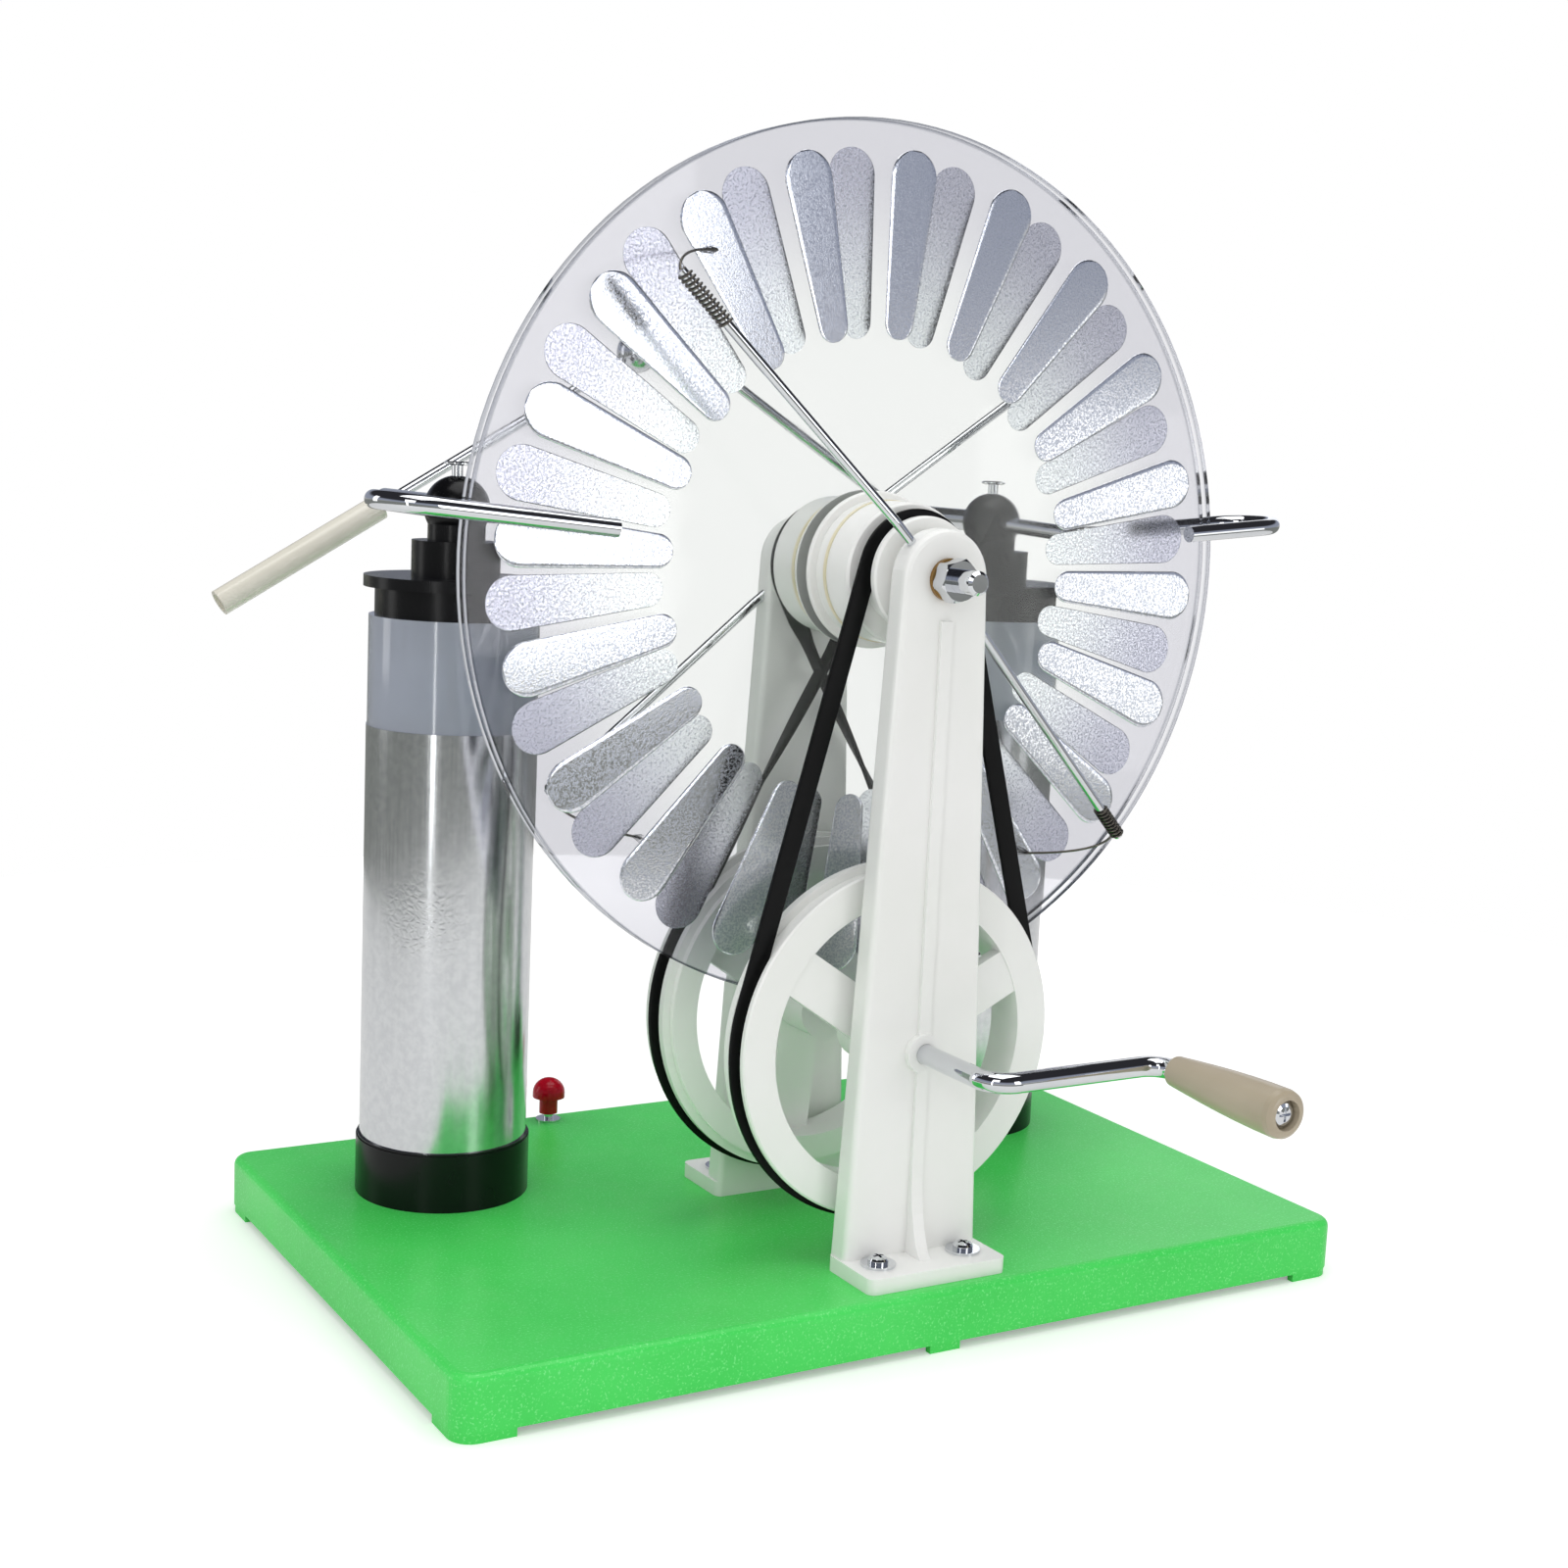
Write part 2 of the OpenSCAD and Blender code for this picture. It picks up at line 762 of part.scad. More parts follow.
module rear_hub() {
    rear_side() hub();
}

module hub_ring() color(cream) {
    translate([0, 0, hub_ring_in]) tube(hub_r + hub_ring_proud, hub_r - hub_ring_depth, hub_ring_width);
}

module front_hub_ring() {
    front_side() hub_ring();
}

module rear_hub_ring() {
    rear_side() hub_ring();
}

// ---- Belts ----

// Each ring of a belt is [x, y, heading, twist, sideways shift]
function arc_rings(centre_y, r, from, to, steps, twist) = [
    for (k = [0 : steps])
        let (a = mix(from, to, k / steps))
        [r * cos(a), centre_y + r * sin(a), to > from ? a + 90 : a - 90, twist, 0]
];

open_lean = asin((wheel_belt_r - pulley_belt_r) / axis_gap);
cross_lean = asin((wheel_belt_r + pulley_belt_r) / axis_gap);
cross_at = pulley_belt_r / (pulley_belt_r + wheel_belt_r);
flat_from = cross_at * 0.78;  // the crossed belt stands on edge from here
flat_to = cross_at * 1.22;    // to here, as shares of its run from the pulley
cross_shift = belt_thickness / 2 + 0.25;

function half_twist(f) =
    f < flat_from ? 90 * ease(f / flat_from)
    : f < flat_to ? 90
    : 90 + 90 * ease((f - flat_to) / (1 - flat_to));
function side_shift(f) =
    f < flat_from ? cross_shift * ease(f / flat_from)
    : f < flat_to ? cross_shift
    : cross_shift * (1 - ease((f - flat_to) / (1 - flat_to)));

function open_belt_rings() = concat(
    arc_rings(0, pulley_belt_r, open_lean, 180 - open_lean, 20, 0),
    arc_rings(-axis_gap, wheel_belt_r, 180 - open_lean, 360 + open_lean, 36, 0)
);

function crossed_run(from, to, down) = [
    for (k = [1 : 15])
        let (f = k / 16, g = down ? f : 1 - f)
        [mix(from[0], to[0], f), mix(from[1], to[1], f), heading(from, to),
            down ? half_twist(g) : 360 - half_twist(g), (down ? 1 : -1) * side_shift(g)]
];

function crossed_belt_rings() =
    let (
        pulley_arc = arc_rings(0, pulley_belt_r, -cross_lean, 180 + cross_lean, 24, 0),
        wheel_arc = arc_rings(-axis_gap, wheel_belt_r, cross_lean, -180 - cross_lean, 36, 180)
    )
    concat(
        pulley_arc,
        crossed_run(pulley_arc[24], wheel_arc[0], true),
        wheel_arc,
        crossed_run(wheel_arc[36], pulley_arc[0], false)
    );

module belt(rings) color(black) {
    points = [
        for (ring = rings)
            let (
                n = [-sin(ring[2]), cos(ring[2]), 0],
                across = cos(ring[3]) * [0, 0, 1] + sin(ring[3]) * n,
                through = cos(ring[3]) * n - sin(ring[3]) * [0, 0, 1],
                middle = [ring[0], ring[1], belt_mid + ring[4]]
            )
            for (c = [[1, 1], [1, -1], [-1, -1], [-1, 1]])
                middle + c[0] * belt_width / 2 * across + c[1] * belt_thickness / 2 * through
    ];
    polyhedron(points, ring_faces(len(rings), 4, true));
}

module front_belt() {
    front_side() belt(open_belt_rings());
}

module rear_belt() {
    rear_side() belt(crossed_belt_rings());
}

// ---- Drive wheels and crank ----

module drive_wheel() color(milky) {
    rim_r = wheel_r - rim_height;
    spoke_top = wheel_out - spoke_recess;
    difference() {
        union() {
            rotate_extrude()
                polygon([[rim_r, wheel_in], [wheel_groove_r, wheel_in], [wheel_groove_r, groove_in - wheel_back_flange],
                    [wheel_r, groove_in - wheel_back_flange], [wheel_r, groove_in], [wheel_groove_r, groove_in],
                    [wheel_groove_r, groove_out], [wheel_r, groove_out], [wheel_r, wheel_out - 0.6],
                    [wheel_r - 0.6, wheel_out], [rim_r, wheel_out]]);
            for (a = spoke_angles)
                rotate([0, 0, a])
                    translate([wheel_hub_r / 2, -spoke_width / 2, spoke_top - spoke_thickness])
                        cube([rim_r - wheel_hub_r / 2 + 1.5, spoke_width, spoke_thickness]);
            translate([0, 0, wheel_hub_in])
                cylinder(r = wheel_hub_r, h = column_in - run_gap - wheel_hub_in);
        }
        translate([0, 0, wheel_hub_in - 1]) cylinder(r = crank_r, h = column_in - wheel_hub_in + 1);
        rotate([0, 0, 90])
            translate([0, 0, set_screw_offset])
                rotate([0, 90, 0]) cylinder(r = set_screw_r, h = wheel_hub_r + 1);
    }
}

module on_crank_axis() {
    translate([0, -axis_gap, 0]) children();
}

module front_drive_wheel() {
    front_side() on_crank_axis() drive_wheel();
}

module rear_drive_wheel() {
    rear_side() on_crank_axis() drive_wheel();
}

module wheel_set_screws() color(chrome) {
    both_sides()
        on_crank_axis()
            rotate([0, 0, 90])
                translate([crank_r, 0, set_screw_offset])
                    rotate([0, 90, 0]) cylinder(r = set_screw_r, h = wheel_hub_r - crank_r - 0.5);
}

module crank_rod() color(chrome) {
    spindle_end = grip_out - grip_recess_depth + run_gap;
    front_side()
        on_crank_axis() {
            rotate([90, 0, 0])
                bent_rod(
                    [[0, -column_out - crank_tail], [0, crank_arm_out], [crank_reach, crank_arm_out],
                        [crank_reach, crank_arm_out + grip_bend + 0.02]],
                    [crank_bend, grip_bend], crank_r);
            translate([crank_reach, 0, crank_arm_out + grip_bend])
                cylinder(r = spindle_r, h = spindle_end - crank_arm_out - grip_bend);
        }
}

module crank_grip() color(beige) {
    bore = spindle_r + bore_gap;
    shoulder = grip_out - grip_recess_depth;
    front_side()
        on_crank_axis()
            translate([crank_reach, 0, 0])
                rotate_extrude()
                    polygon(concat(
                        [[bore, grip_in], [grip_root_r - 0.8, grip_in], [grip_root_r, grip_in + 0.8]],
                        [for (k = [1 : 6]) let (f = k / 6)
                            [mix(grip_root_r, grip_end_r, sin(90 * f)), mix(grip_in + 0.8, grip_out - 3, f)]],
                        [[grip_end_r - 0.4, grip_out - 1.2], [grip_end_r - 1.4, grip_out - 0.3], [grip_end_r - 2.2, grip_out],
                            [grip_recess_r, grip_out], [grip_recess_r, shoulder], [bore, shoulder]]));
}

module grip_screw() color(chrome) {
    seat = grip_out - grip_recess_depth + run_gap;
    front_side()
        on_crank_axis()
            translate([crank_reach, 0, seat])
                pan_head(grip_screw_r, grip_screw_height);
}

// ---- Neutralizers ----

module neutralizer_rods(angle) color(chrome) {
    for (a = [0, 180])
        rotate([0, 0, angle + a])
            rotate([90, 0, 0])
                bent_rod([[neutralizer_start, column_mid], [neutralizer_knee, column_mid],
                    [neutralizer_end, neutralizer_end_out]], [14], neutralizer_r);
}

module front_neutralizer_rods() {
    front_side() neutralizer_rods(front_neutralizer_angle);
}

module rear_neutralizer_rods() {
    rear_side() neutralizer_rods(rear_neutralizer_angle);
}

// A wire coiled round the rod's end, which runs on to the disc and ends in fine bristles
module brush(coil_length, trail) {
    along = unit([neutralizer_end - neutralizer_knee, 0, neutralizer_end_out - column_mid]);
    up = [-along[2], 0, along[0]];
    rod_end = [neutralizer_end, 0, neutralizer_end_out];
    count = floor(coil_length / coil_pitch) * coil_steps;
    coil_start = rod_end - coil_length * along;
    coil_path = [
        for (k = [0 : count])
            let (a = 180 + 360 * k / coil_steps)
            coil_start + along * (coil_pitch * k / coil_steps) + coil_r * (cos(a) * up + sin(a) * [0, 1, 0])
    ];
    tip = [brush_radius, trail * brush_reach, foil_out + run_gap];
    lead_start = coil_path[count];
    knee = rod_end + [5, trail * 6, -7];
    lead_end = tip + [0.6, -trail * 0.8, bristle_length];
    lead_path = [
        for (k = [0 : 8])
            let (f = k / 8)
            mix(mix(lead_start, knee, f), mix(knee, lead_end, f), f)
    ];
    wire(coil_path, wire_r, coil_sides, along);
    wire(lead_path, wire_r, coil_sides, [0.3, 1, -1]);
    for (a = [0 : 72 : 288])
        translate(lead_end + [0.22 * cos(a), 0.22 * sin(a), 0.4])
            rotate([13 * sin(a), -13 * cos(a), 0])
                translate([0, 0, -bristle_length])
                    cylinder(r1 = 0.12, r2 = 0.2, h = bristle_length, $fn = 5);
}

module front_brushes() color(brass) {
    front_side()
        for (end = [0, 1])
            rotate([0, 0, front_neutralizer_angle + 180 * end]) brush(front_coil[end], -1);
}

module rear_brushes() color(brass) {
    rear_side()
        for (end = [0, 1])
            rotate([0, 0, rear_neutralizer_angle + 180 * end]) brush(rear_coil[end], 1);
}

// ---- Leyden jars ----

module jar_cups() color(black) {
    jar_places()
        translate([0, 0, base_height])
            difference() {
                union() {
                    cylinder(r = cup_r, h = cup_height - 0.8);
                    cylinder(r = cup_r - 0.4, h = cup_height);
                }
                translate([0, 0, cup_floor]) cylinder(r = cup_inner_r, h = cup_height);
                translate([0, 0, -1]) cylinder(r = screw_r + press_gap, h = cup_floor);
            }
}

module jar_screws() color(chrome) {
    jar_places() {
        translate([0, 0, rib_bottom]) mirror([0, 0, 1]) pan_head(screw_head_r, screw_head_height);
        translate([0, 0, rib_bottom - 0.5])
            cylinder(r = screw_r, h = base_height + cup_floor - 1.3 - rib_bottom + 0.5);
    }
}

module jar_tube(side) color(grey_clear) {
    translate([side * jar_x, jar_y, tube_bottom]) tube(jar_r, jar_r - jar_wall, tube_top - tube_bottom);
}

module left_jar_tube() {
    jar_tube(-1);
}

module right_jar_tube() {
    jar_tube(1);
}

module outer_foil(side) color(foil) {
    bottom = tube_bottom + foil_cup_gap;
    translate([side * jar_x, jar_y, bottom]) tube(jar_r + foil_thickness, jar_r, foil_top - bottom);
}

module left_outer_foil() {
    outer_foil(-1);
}

module right_outer_foil() {
    outer_foil(1);
}

module inner_foils() color(foil) {
    inner_r = jar_r - jar_wall;
    bottom = tube_bottom + foil_cup_gap;
    jar_places()
        translate([0, 0, bottom]) tube(inner_r, inner_r - foil_thickness, foil_top - bottom);
}

module centre_electrodes() color(brass) {
    leaf_length = jar_r - jar_wall - foil_thickness - 0.1;
    jar_places() {
        translate([0, 0, electrode_bottom]) cylinder(r = electrode_r, h = electrode_top - electrode_bottom);
        for (a = [0, 120, 240])
            rotate([0, 0, a])
                translate([electrode_r / 2, -leaf_width / 2, electrode_bottom + leaf_height])
                    cube([leaf_length - electrode_r / 2, leaf_width, leaf_thickness]);
    }
}

module jar_lid(side) color(black) {
    translate([side * jar_x, jar_y, tube_top])
        difference() {
            union() {
                translate([0, 0, -lid_plug_depth])
                    cylinder(r = jar_r - jar_wall - press_gap, h = lid_plug_depth + lid_collar + 1);
                translate([0, 0, lid_collar]) cylinder(r = lid_flange_r, h = lid_flange);
                cylinder(r = lid_step_r, h = lid_collar + lid_flange + lid_step_height);
            }
            translate([0, 0, -lid_plug_depth - 1]) cylinder(r = electrode_r + press_gap, h = 60);
        }
}

module left_jar_lid() {
    jar_lid(-1);
}

module right_jar_lid() {
    jar_lid(1);
}

// Direction of a fork's stem seen from above, as an angle from straight ahead
fork_lean = atan2(fork_knee_in, jar_setback - fork_gap / 2);

// Places children in a fork's plane, which rises outwards from the ball head
module on_fork(side) {
    mirror([side < 0 ? 1 : 0, 0, 0])
        rotate([0, -fork_tilt, 0])
            children();
}

module ball_head(side) color(black) {
    translate([side * jar_x, jar_y, head_z])
        difference() {
            union() {
                sphere(r = head_ball_r);
                translate([0, 0, -post_height]) cylinder(r = post_r, h = post_height);
            }
            translate([0, 0, -post_height - 1])
                cylinder(r = electrode_r + press_gap, h = post_height - 5.9 + 1);
            rotate([-90, 0, 0])
                translate([0, 0, -support_inner_end - 0.2])
                    cylinder(r = support_r + bore_gap, h = head_ball_r + support_inner_end + 1);
            on_fork(side)
                rotate([90, 0, -fork_lean])
                    translate([0, 0, fork_socket - 0.1])
                        cylinder(r = fork_r + press_gap, h = head_ball_r);
            cylinder(r = thumb_r + bore_gap, h = head_ball_r + 1);
        }
}

module left_ball_head() {
    ball_head(-1);
}

module right_ball_head() {
    ball_head(1);
}

module thumbscrew(side) color(chrome) {
    bottom = support_r + run_gap;
    cap = head_ball_r + thumb_cap_rise;
    translate([side * jar_x, jar_y, head_z]) {
        translate([0, 0, bottom]) cylinder(r = thumb_r, h = cap - bottom + 0.5);
        translate([0, 0, cap])
            rotate_extrude()
                polygon([[0, 0], [thumb_cap_r * 0.7, 0], [thumb_cap_r, thumb_cap_height * 0.4],
                    [thumb_cap_r, thumb_cap_height * 0.7], [thumb_cap_r * 0.8, thumb_cap_height], [0, thumb_cap_height]]);
    }
}

module left_thumbscrew() {
    thumbscrew(-1);
}

module right_thumbscrew() {
    thumbscrew(1);
}

// ---- Collector forks ----

// The fork lies in a plane that rises a little outwards: U is outwards, V to the back
module collector_fork(front_end) {
    knee = -jar_setback + fork_gap / 2;
    front_leg = -jar_setback - fork_gap / 2;
    loop = disc_r + fork_loop_out - jar_x;
    bent_rod(
        [[fork_neck_end - fork_knee_in, knee], [loop, knee], [loop, front_leg], [front_end - jar_x, front_leg]],
        [fork_gap / 2, fork_gap / 2], fork_r);
    // The stem leans in from the ball to the knee, where the neck bends into the leg
    stem = [-sin(fork_lean), -cos(fork_lean), 0];
    corner = [-fork_knee_in, knee, 0];
    neck = fork_knee_bend * tan(45 + fork_lean / 2);
    wire(concat(
        [fork_socket * stem],
        [for (k = [0 : fork_knee_steps])
            let (a = 180 - fork_lean + (90 + fork_lean) * k / fork_knee_steps)
            corner + [neck, fork_knee_bend, 0] + fork_knee_bend * [cos(a), sin(a), 0]],
        [corner + [fork_neck_end + fork_neck_lap, 0, 0]]),
        fork_r - bead, fork_neck_sides, [0, 0, 1]);
    pin_length = fork_gap / 2 - fork_r - foil_out - 2 * run_gap;
    pin_start = disc_r - 8 - jar_x;
    for (leg = [knee, front_leg], k = [0 : pin_count - 1])
        let (x = pin_start - pin_pitch * (k + (leg == front_leg ? 0.4 : 0.9)))
        if (x > (leg == knee ? fork_neck_end - fork_knee_in : front_end - jar_x) + 2)
            translate([x, leg, 0])
                rotate([leg == knee ? 90 : -90, 0, 0])
                    translate([0, 0, fork_r - 0.5])
                        cylinder(r1 = pin_r, r2 = 0.15, h = pin_length + 0.5);
}

module placed_fork(side, front_end) color(chrome) {
    translate([side * jar_x, jar_y, head_z])
        on_fork(side)
            collector_fork(front_end);
}

module left_collector_fork() {
    placed_fork(-1, left_fork_end);
}

module right_collector_fork() {
    placed_fork(1, right_fork_end);
}

// ---- Discharge arms ----

// Places children on an arm: the X axis is the discharge rod's, which points up and inwards
module on_arm(side) {
    translate([side * jar_x, jar_y + support_back, head_z])
        mirror([side > 0 ? 1 : 0, 0, 0])
            rotate([0, -arm_angle, 0])
                children();
}

module arm_support(side) color(chrome) {
    difference() {
        translate([side * jar_x, jar_y - support_inner_end, head_z])
            rotate([-90, 0, 0])
                cylinder(r = support_r, h = support_inner_end + support_back + support_tail);
        on_arm(side)
            translate([-support_r - 2, 0, 0])
                rotate([0, 90, 0]) cylinder(r = arm_r + press_gap, h = 2 * support_r + 4);
    }
}

module left_arm_support() {
    arm_support(-1);
}

module right_arm_support() {
    arm_support(1);
}

module discharge_rod(side) color(chrome) {
    on_arm(side)
        translate([-handle_start - rod_in_handle, 0, 0])
            rotate([0, 90, 0]) cylinder(r = arm_r, h = handle_start + rod_in_handle + arm_length - ball_r / 2);
}

module left_discharge_rod() {
    discharge_rod(-1);
}

module right_discharge_rod() {
    discharge_rod(1);
}

module spark_ball(side) color(chrome) {
    on_arm(side)
        translate([arm_length, 0, 0])
            difference() {
                sphere(r = ball_r);
                translate([-ball_r - 1, 0, 0])
                    rotate([0, 90, 0]) cylinder(r = arm_r + press_gap, h = ball_r / 2 + 1);
            }
}

module left_spark_ball() {
    spark_ball(-1);
}

module right_spark_ball() {
    spark_ball(1);
}

// A tube with a plug at its root that grips the rod
module arm_handle(side) color(milky) {
    root = 6;
    on_arm(side)
        translate([-handle_start, 0, 0])
            rotate([0, -90, 0])
                difference() {
                    cylinder(r = handle_r, h = handle_length);
                    translate([0, 0, root]) cylinder(r = handle_r - handle_wall, h = handle_length);
                    translate([0, 0, -1]) cylinder(r = arm_r + press_gap, h = root + 2);
                }
}

module left_arm_handle() {
    arm_handle(-1);
}

module right_arm_handle() {
    arm_handle(1);
}

// ---- Terminals ----

module terminal_studs() color(chrome) {
    top = base_height + terminal_knob_lift + terminal_neck_height;
    terminal_places() {
        translate([0, 0, rib_bottom - terminal_head_height]) hexagon(terminal_head_flats, terminal_head_height);
        translate([0, 0, rib_bottom - 0.5]) cylinder(r = terminal_stud_r, h = top - rib_bottom + 0.5);
    }
}

module terminal_washers() color(chrome) {
    terminal_places()
        translate([0, 0, base_height])
            tube(terminal_washer_r, terminal_stud_r + press_gap, terminal_washer_thickness);
}

module terminal_knob(side) color(red) {
    bottom = base_height + terminal_knob_lift;
    depth = terminal_neck_height + run_gap;
    translate([side * terminal_x, terminal_y, bottom])
        rotate_extrude()
            polygon(concat(
                [[terminal_stud_r + bore_gap, 0], [terminal_neck_r, 0], [terminal_neck_r, terminal_neck_height],
                    [terminal_cap_r, terminal_neck_height + 0.6]],
                [for (k = [0 : 8]) let (a = 90 * k / 8)
                    [terminal_cap_r * cos(a), terminal_neck_height + 2.4 + (terminal_cap_height - 2.4) * sin(a)]],
                [[0, depth], [terminal_stud_r + bore_gap, depth]]));
}

module left_terminal_knob() {
    terminal_knob(-1);
}

module right_terminal_knob() {
    terminal_knob(1);
}

base_plate();
front_upright();
rear_upright();
upright_screws();
upright_washers();
axle_stud();
axle_nuts();
axle_spring_washers();
hub_washers();
disc_spacer();
front_disc();
rear_disc();
front_sectors();
rear_sectors();
front_hub();
rear_hub();
front_hub_ring();
rear_hub_ring();
front_belt();
rear_belt();
front_drive_wheel();
rear_drive_wheel();
wheel_set_screws();
crank_rod();
crank_grip();
grip_screw();
front_neutralizer_rods();
rear_neutralizer_rods();
front_brushes();
rear_brushes();
jar_cups();
jar_screws();
left_jar_tube();
right_jar_tube();
left_outer_foil();
right_outer_foil();
inner_foils();
centre_electrodes();
left_jar_lid();
right_jar_lid();
left_ball_head();
right_ball_head();
left_thumbscrew();
right_thumbscrew();
left_collector_fork();
right_collector_fork();
left_arm_support();
right_arm_support();
left_discharge_rod();
right_discharge_rod();
left_spark_ball();
right_spark_ball();
left_arm_handle();
right_arm_handle();
terminal_studs();
terminal_washers();
left_terminal_knob();
right_terminal_knob();
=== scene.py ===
import math

import bmesh
import bpy
from mathutils import Matrix, Quaternion, Vector


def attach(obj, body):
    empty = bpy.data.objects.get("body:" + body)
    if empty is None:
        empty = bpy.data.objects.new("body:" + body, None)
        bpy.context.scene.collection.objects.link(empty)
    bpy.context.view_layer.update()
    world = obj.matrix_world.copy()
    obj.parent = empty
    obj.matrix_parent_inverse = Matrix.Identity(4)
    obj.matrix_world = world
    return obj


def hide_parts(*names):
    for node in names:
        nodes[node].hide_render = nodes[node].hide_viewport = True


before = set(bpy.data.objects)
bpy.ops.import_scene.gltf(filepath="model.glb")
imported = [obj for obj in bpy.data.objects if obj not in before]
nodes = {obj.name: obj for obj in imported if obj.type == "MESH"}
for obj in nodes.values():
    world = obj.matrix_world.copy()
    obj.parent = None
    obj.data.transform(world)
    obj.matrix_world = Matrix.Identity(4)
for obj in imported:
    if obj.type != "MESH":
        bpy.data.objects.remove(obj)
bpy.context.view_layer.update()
print("frame loaded:", len(nodes), "pieces")

mm = 0.001
studio = bpy.context.scene
studio.view_settings.view_transform = "Standard"

# Where the machine's axes lie, as the frame has them
machine = {
    "discMidY": -42.2 * mm,   # the plane between the two discs
    "axleZ": 256.2 * mm,
    "axisGap": 159.2 * mm,    # from the axle down to the crank shaft
    "discRadius": 150 * mm,
}


def paint(code):   # linear colour of a screen colour code
    parts = [int(code[i:i + 2], 16) / 255 for i in (0, 2, 4)]
    return [p / 12.92 if p <= 0.04045 else ((p + 0.055) / 1.055) ** 2.4 for p in parts] + [1.0]


def startGroup(name, inputs, outputs):
    group = bpy.data.node_groups.new(name, "ShaderNodeTree")
    for label, value in inputs:
        socket = group.interface.new_socket(label, in_out="INPUT", socket_type="NodeSocketFloat")
        socket.default_value = value
    for label in outputs:
        group.interface.new_socket(label, in_out="OUTPUT", socket_type="NodeSocketFloat")
    return group, group.nodes.new("NodeGroupInput"), group.nodes.new("NodeGroupOutput")


def noiseIn(tree, vector, scaleSocket, detail=3.0, roughness=0.5):
    noise = tree.nodes.new("ShaderNodeTexNoise")
    noise.inputs["Detail"].default_value = detail
    noise.inputs["Roughness"].default_value = roughness
    tree.links.new(vector, noise.inputs["Vector"])
    if isinstance(scaleSocket, float):
        noise.inputs["Scale"].default_value = scaleSocket
    else:
        tree.links.new(scaleSocket, noise.inputs["Scale"])
    return noise.outputs["Fac"]


def spread(tree, value, low, high, toLow=0.0, toHigh=1.0):   # value from low..high stretched to toLow..toHigh
    node = tree.nodes.new("ShaderNodeMapRange")
    node.interpolation_type = "SMOOTHSTEP"
    for slot, number in (("From Min", low), ("From Max", high), ("To Min", toLow), ("To Max", toHigh)):
        if isinstance(number, float):
            node.inputs[slot].default_value = number
        else:
            tree.links.new(number, node.inputs[slot])
    tree.links.new(value, node.inputs["Value"])
    return node.outputs["Result"]


def combine(tree, operation, a, b):
    node = tree.nodes.new("ShaderNodeMath")
    node.operation = operation
    for i, v in enumerate((a, b)):
        if isinstance(v, float):
            node.inputs[i].default_value = v
        else:
            tree.links.new(v, node.inputs[i])
    return node.outputs[0]


def objectPoint(tree, stretch=(1.0, 1.0, 1.0), turn=(0.0, 0.0, 0.0)):
    coordinate = tree.nodes.new("ShaderNodeTexCoord")
    mapping = tree.nodes.new("ShaderNodeMapping")
    mapping.inputs["Scale"].default_value = stretch
    mapping.inputs["Rotation"].default_value = turn
    tree.links.new(coordinate.outputs["Object"], mapping.inputs["Vector"])
    return mapping.outputs["Vector"]


# the shared effects; scales are per metre, and edges say where a noise starts and ends to show
effects = {
    "driftEdges": (0.3, 0.7),
    "hairlines": (((60.0, 1500.0, 60.0), (0.3, 0.2, 0.5)), ((1300.0, 50.0, 90.0), (0.1, 0.5, -0.4))),   # stretch, turn
    "hairlineEdges": (0.66, 0.74), "smearScale": 22.0, "smearEdges": (0.45, 0.7),
    "speckleEdges": (0.36, 0.64),
    "foldWander": 0.012, "foldWanderScale": 60.0, "foldWidth": 0.35, "rolledStretch": (700.0, 700.0, 14.0),
    "dustScale": 45.0, "dustSlope": (0.5, 1.0), "dustEdges": (0.4, 0.75), "dustColour": "c9c8c2",
}


def buildSurfaceGrain():   # orange peel of moulded faces: a fine height, and a slow drift for colour
    group, inward, outward = startGroup("surfaceGrain", [("Scale", 900.0), ("Drift Scale", 14.0)], ["Height", "Drift"])
    point = objectPoint(group)
    fine = noiseIn(group, point, inward.outputs["Scale"], 2.0, 0.55)
    slow = noiseIn(group, point, inward.outputs["Drift Scale"], 4.0, 0.6)
    group.links.new(fine, outward.inputs["Height"])
    group.links.new(spread(group, slow, *effects["driftEdges"]), outward.inputs["Drift"])
    return group


def buildHandlingMarks():   # thin hairlines in two directions and dull smears where hands go
    group, inward, outward = startGroup("handlingMarks", [("Amount", 0.5)], ["Hairlines", "Smears"])
    lines = []
    for stretch, turn in effects["hairlines"]:
        streak = noiseIn(group, objectPoint(group, stretch, turn), 1.0, 2.0, 0.6)
        lines.append(spread(group, streak, *effects["hairlineEdges"]))
    both = combine(group, "MAXIMUM", lines[0], lines[1])
    patches = noiseIn(group, objectPoint(group), effects["smearScale"], 3.0, 0.6)
    patches = spread(group, patches, *effects["smearEdges"])
    group.links.new(combine(group, "MULTIPLY", both, inward.outputs["Amount"]), outward.inputs["Hairlines"])
    group.links.new(combine(group, "MULTIPLY", patches, inward.outputs["Amount"]), outward.inputs["Smears"])
    return group


def buildSpeckle():   # bright and dark grains of foil
    group, inward, outward = startGroup("foilSpeckle", [("Scale", 1400.0)], ["Grain"])
    point = objectPoint(group)
    grain = noiseIn(group, point, inward.outputs["Scale"], 3.0, 0.75)
    group.links.new(spread(group, grain, *effects["speckleEdges"]), outward.inputs["Grain"])
    return group


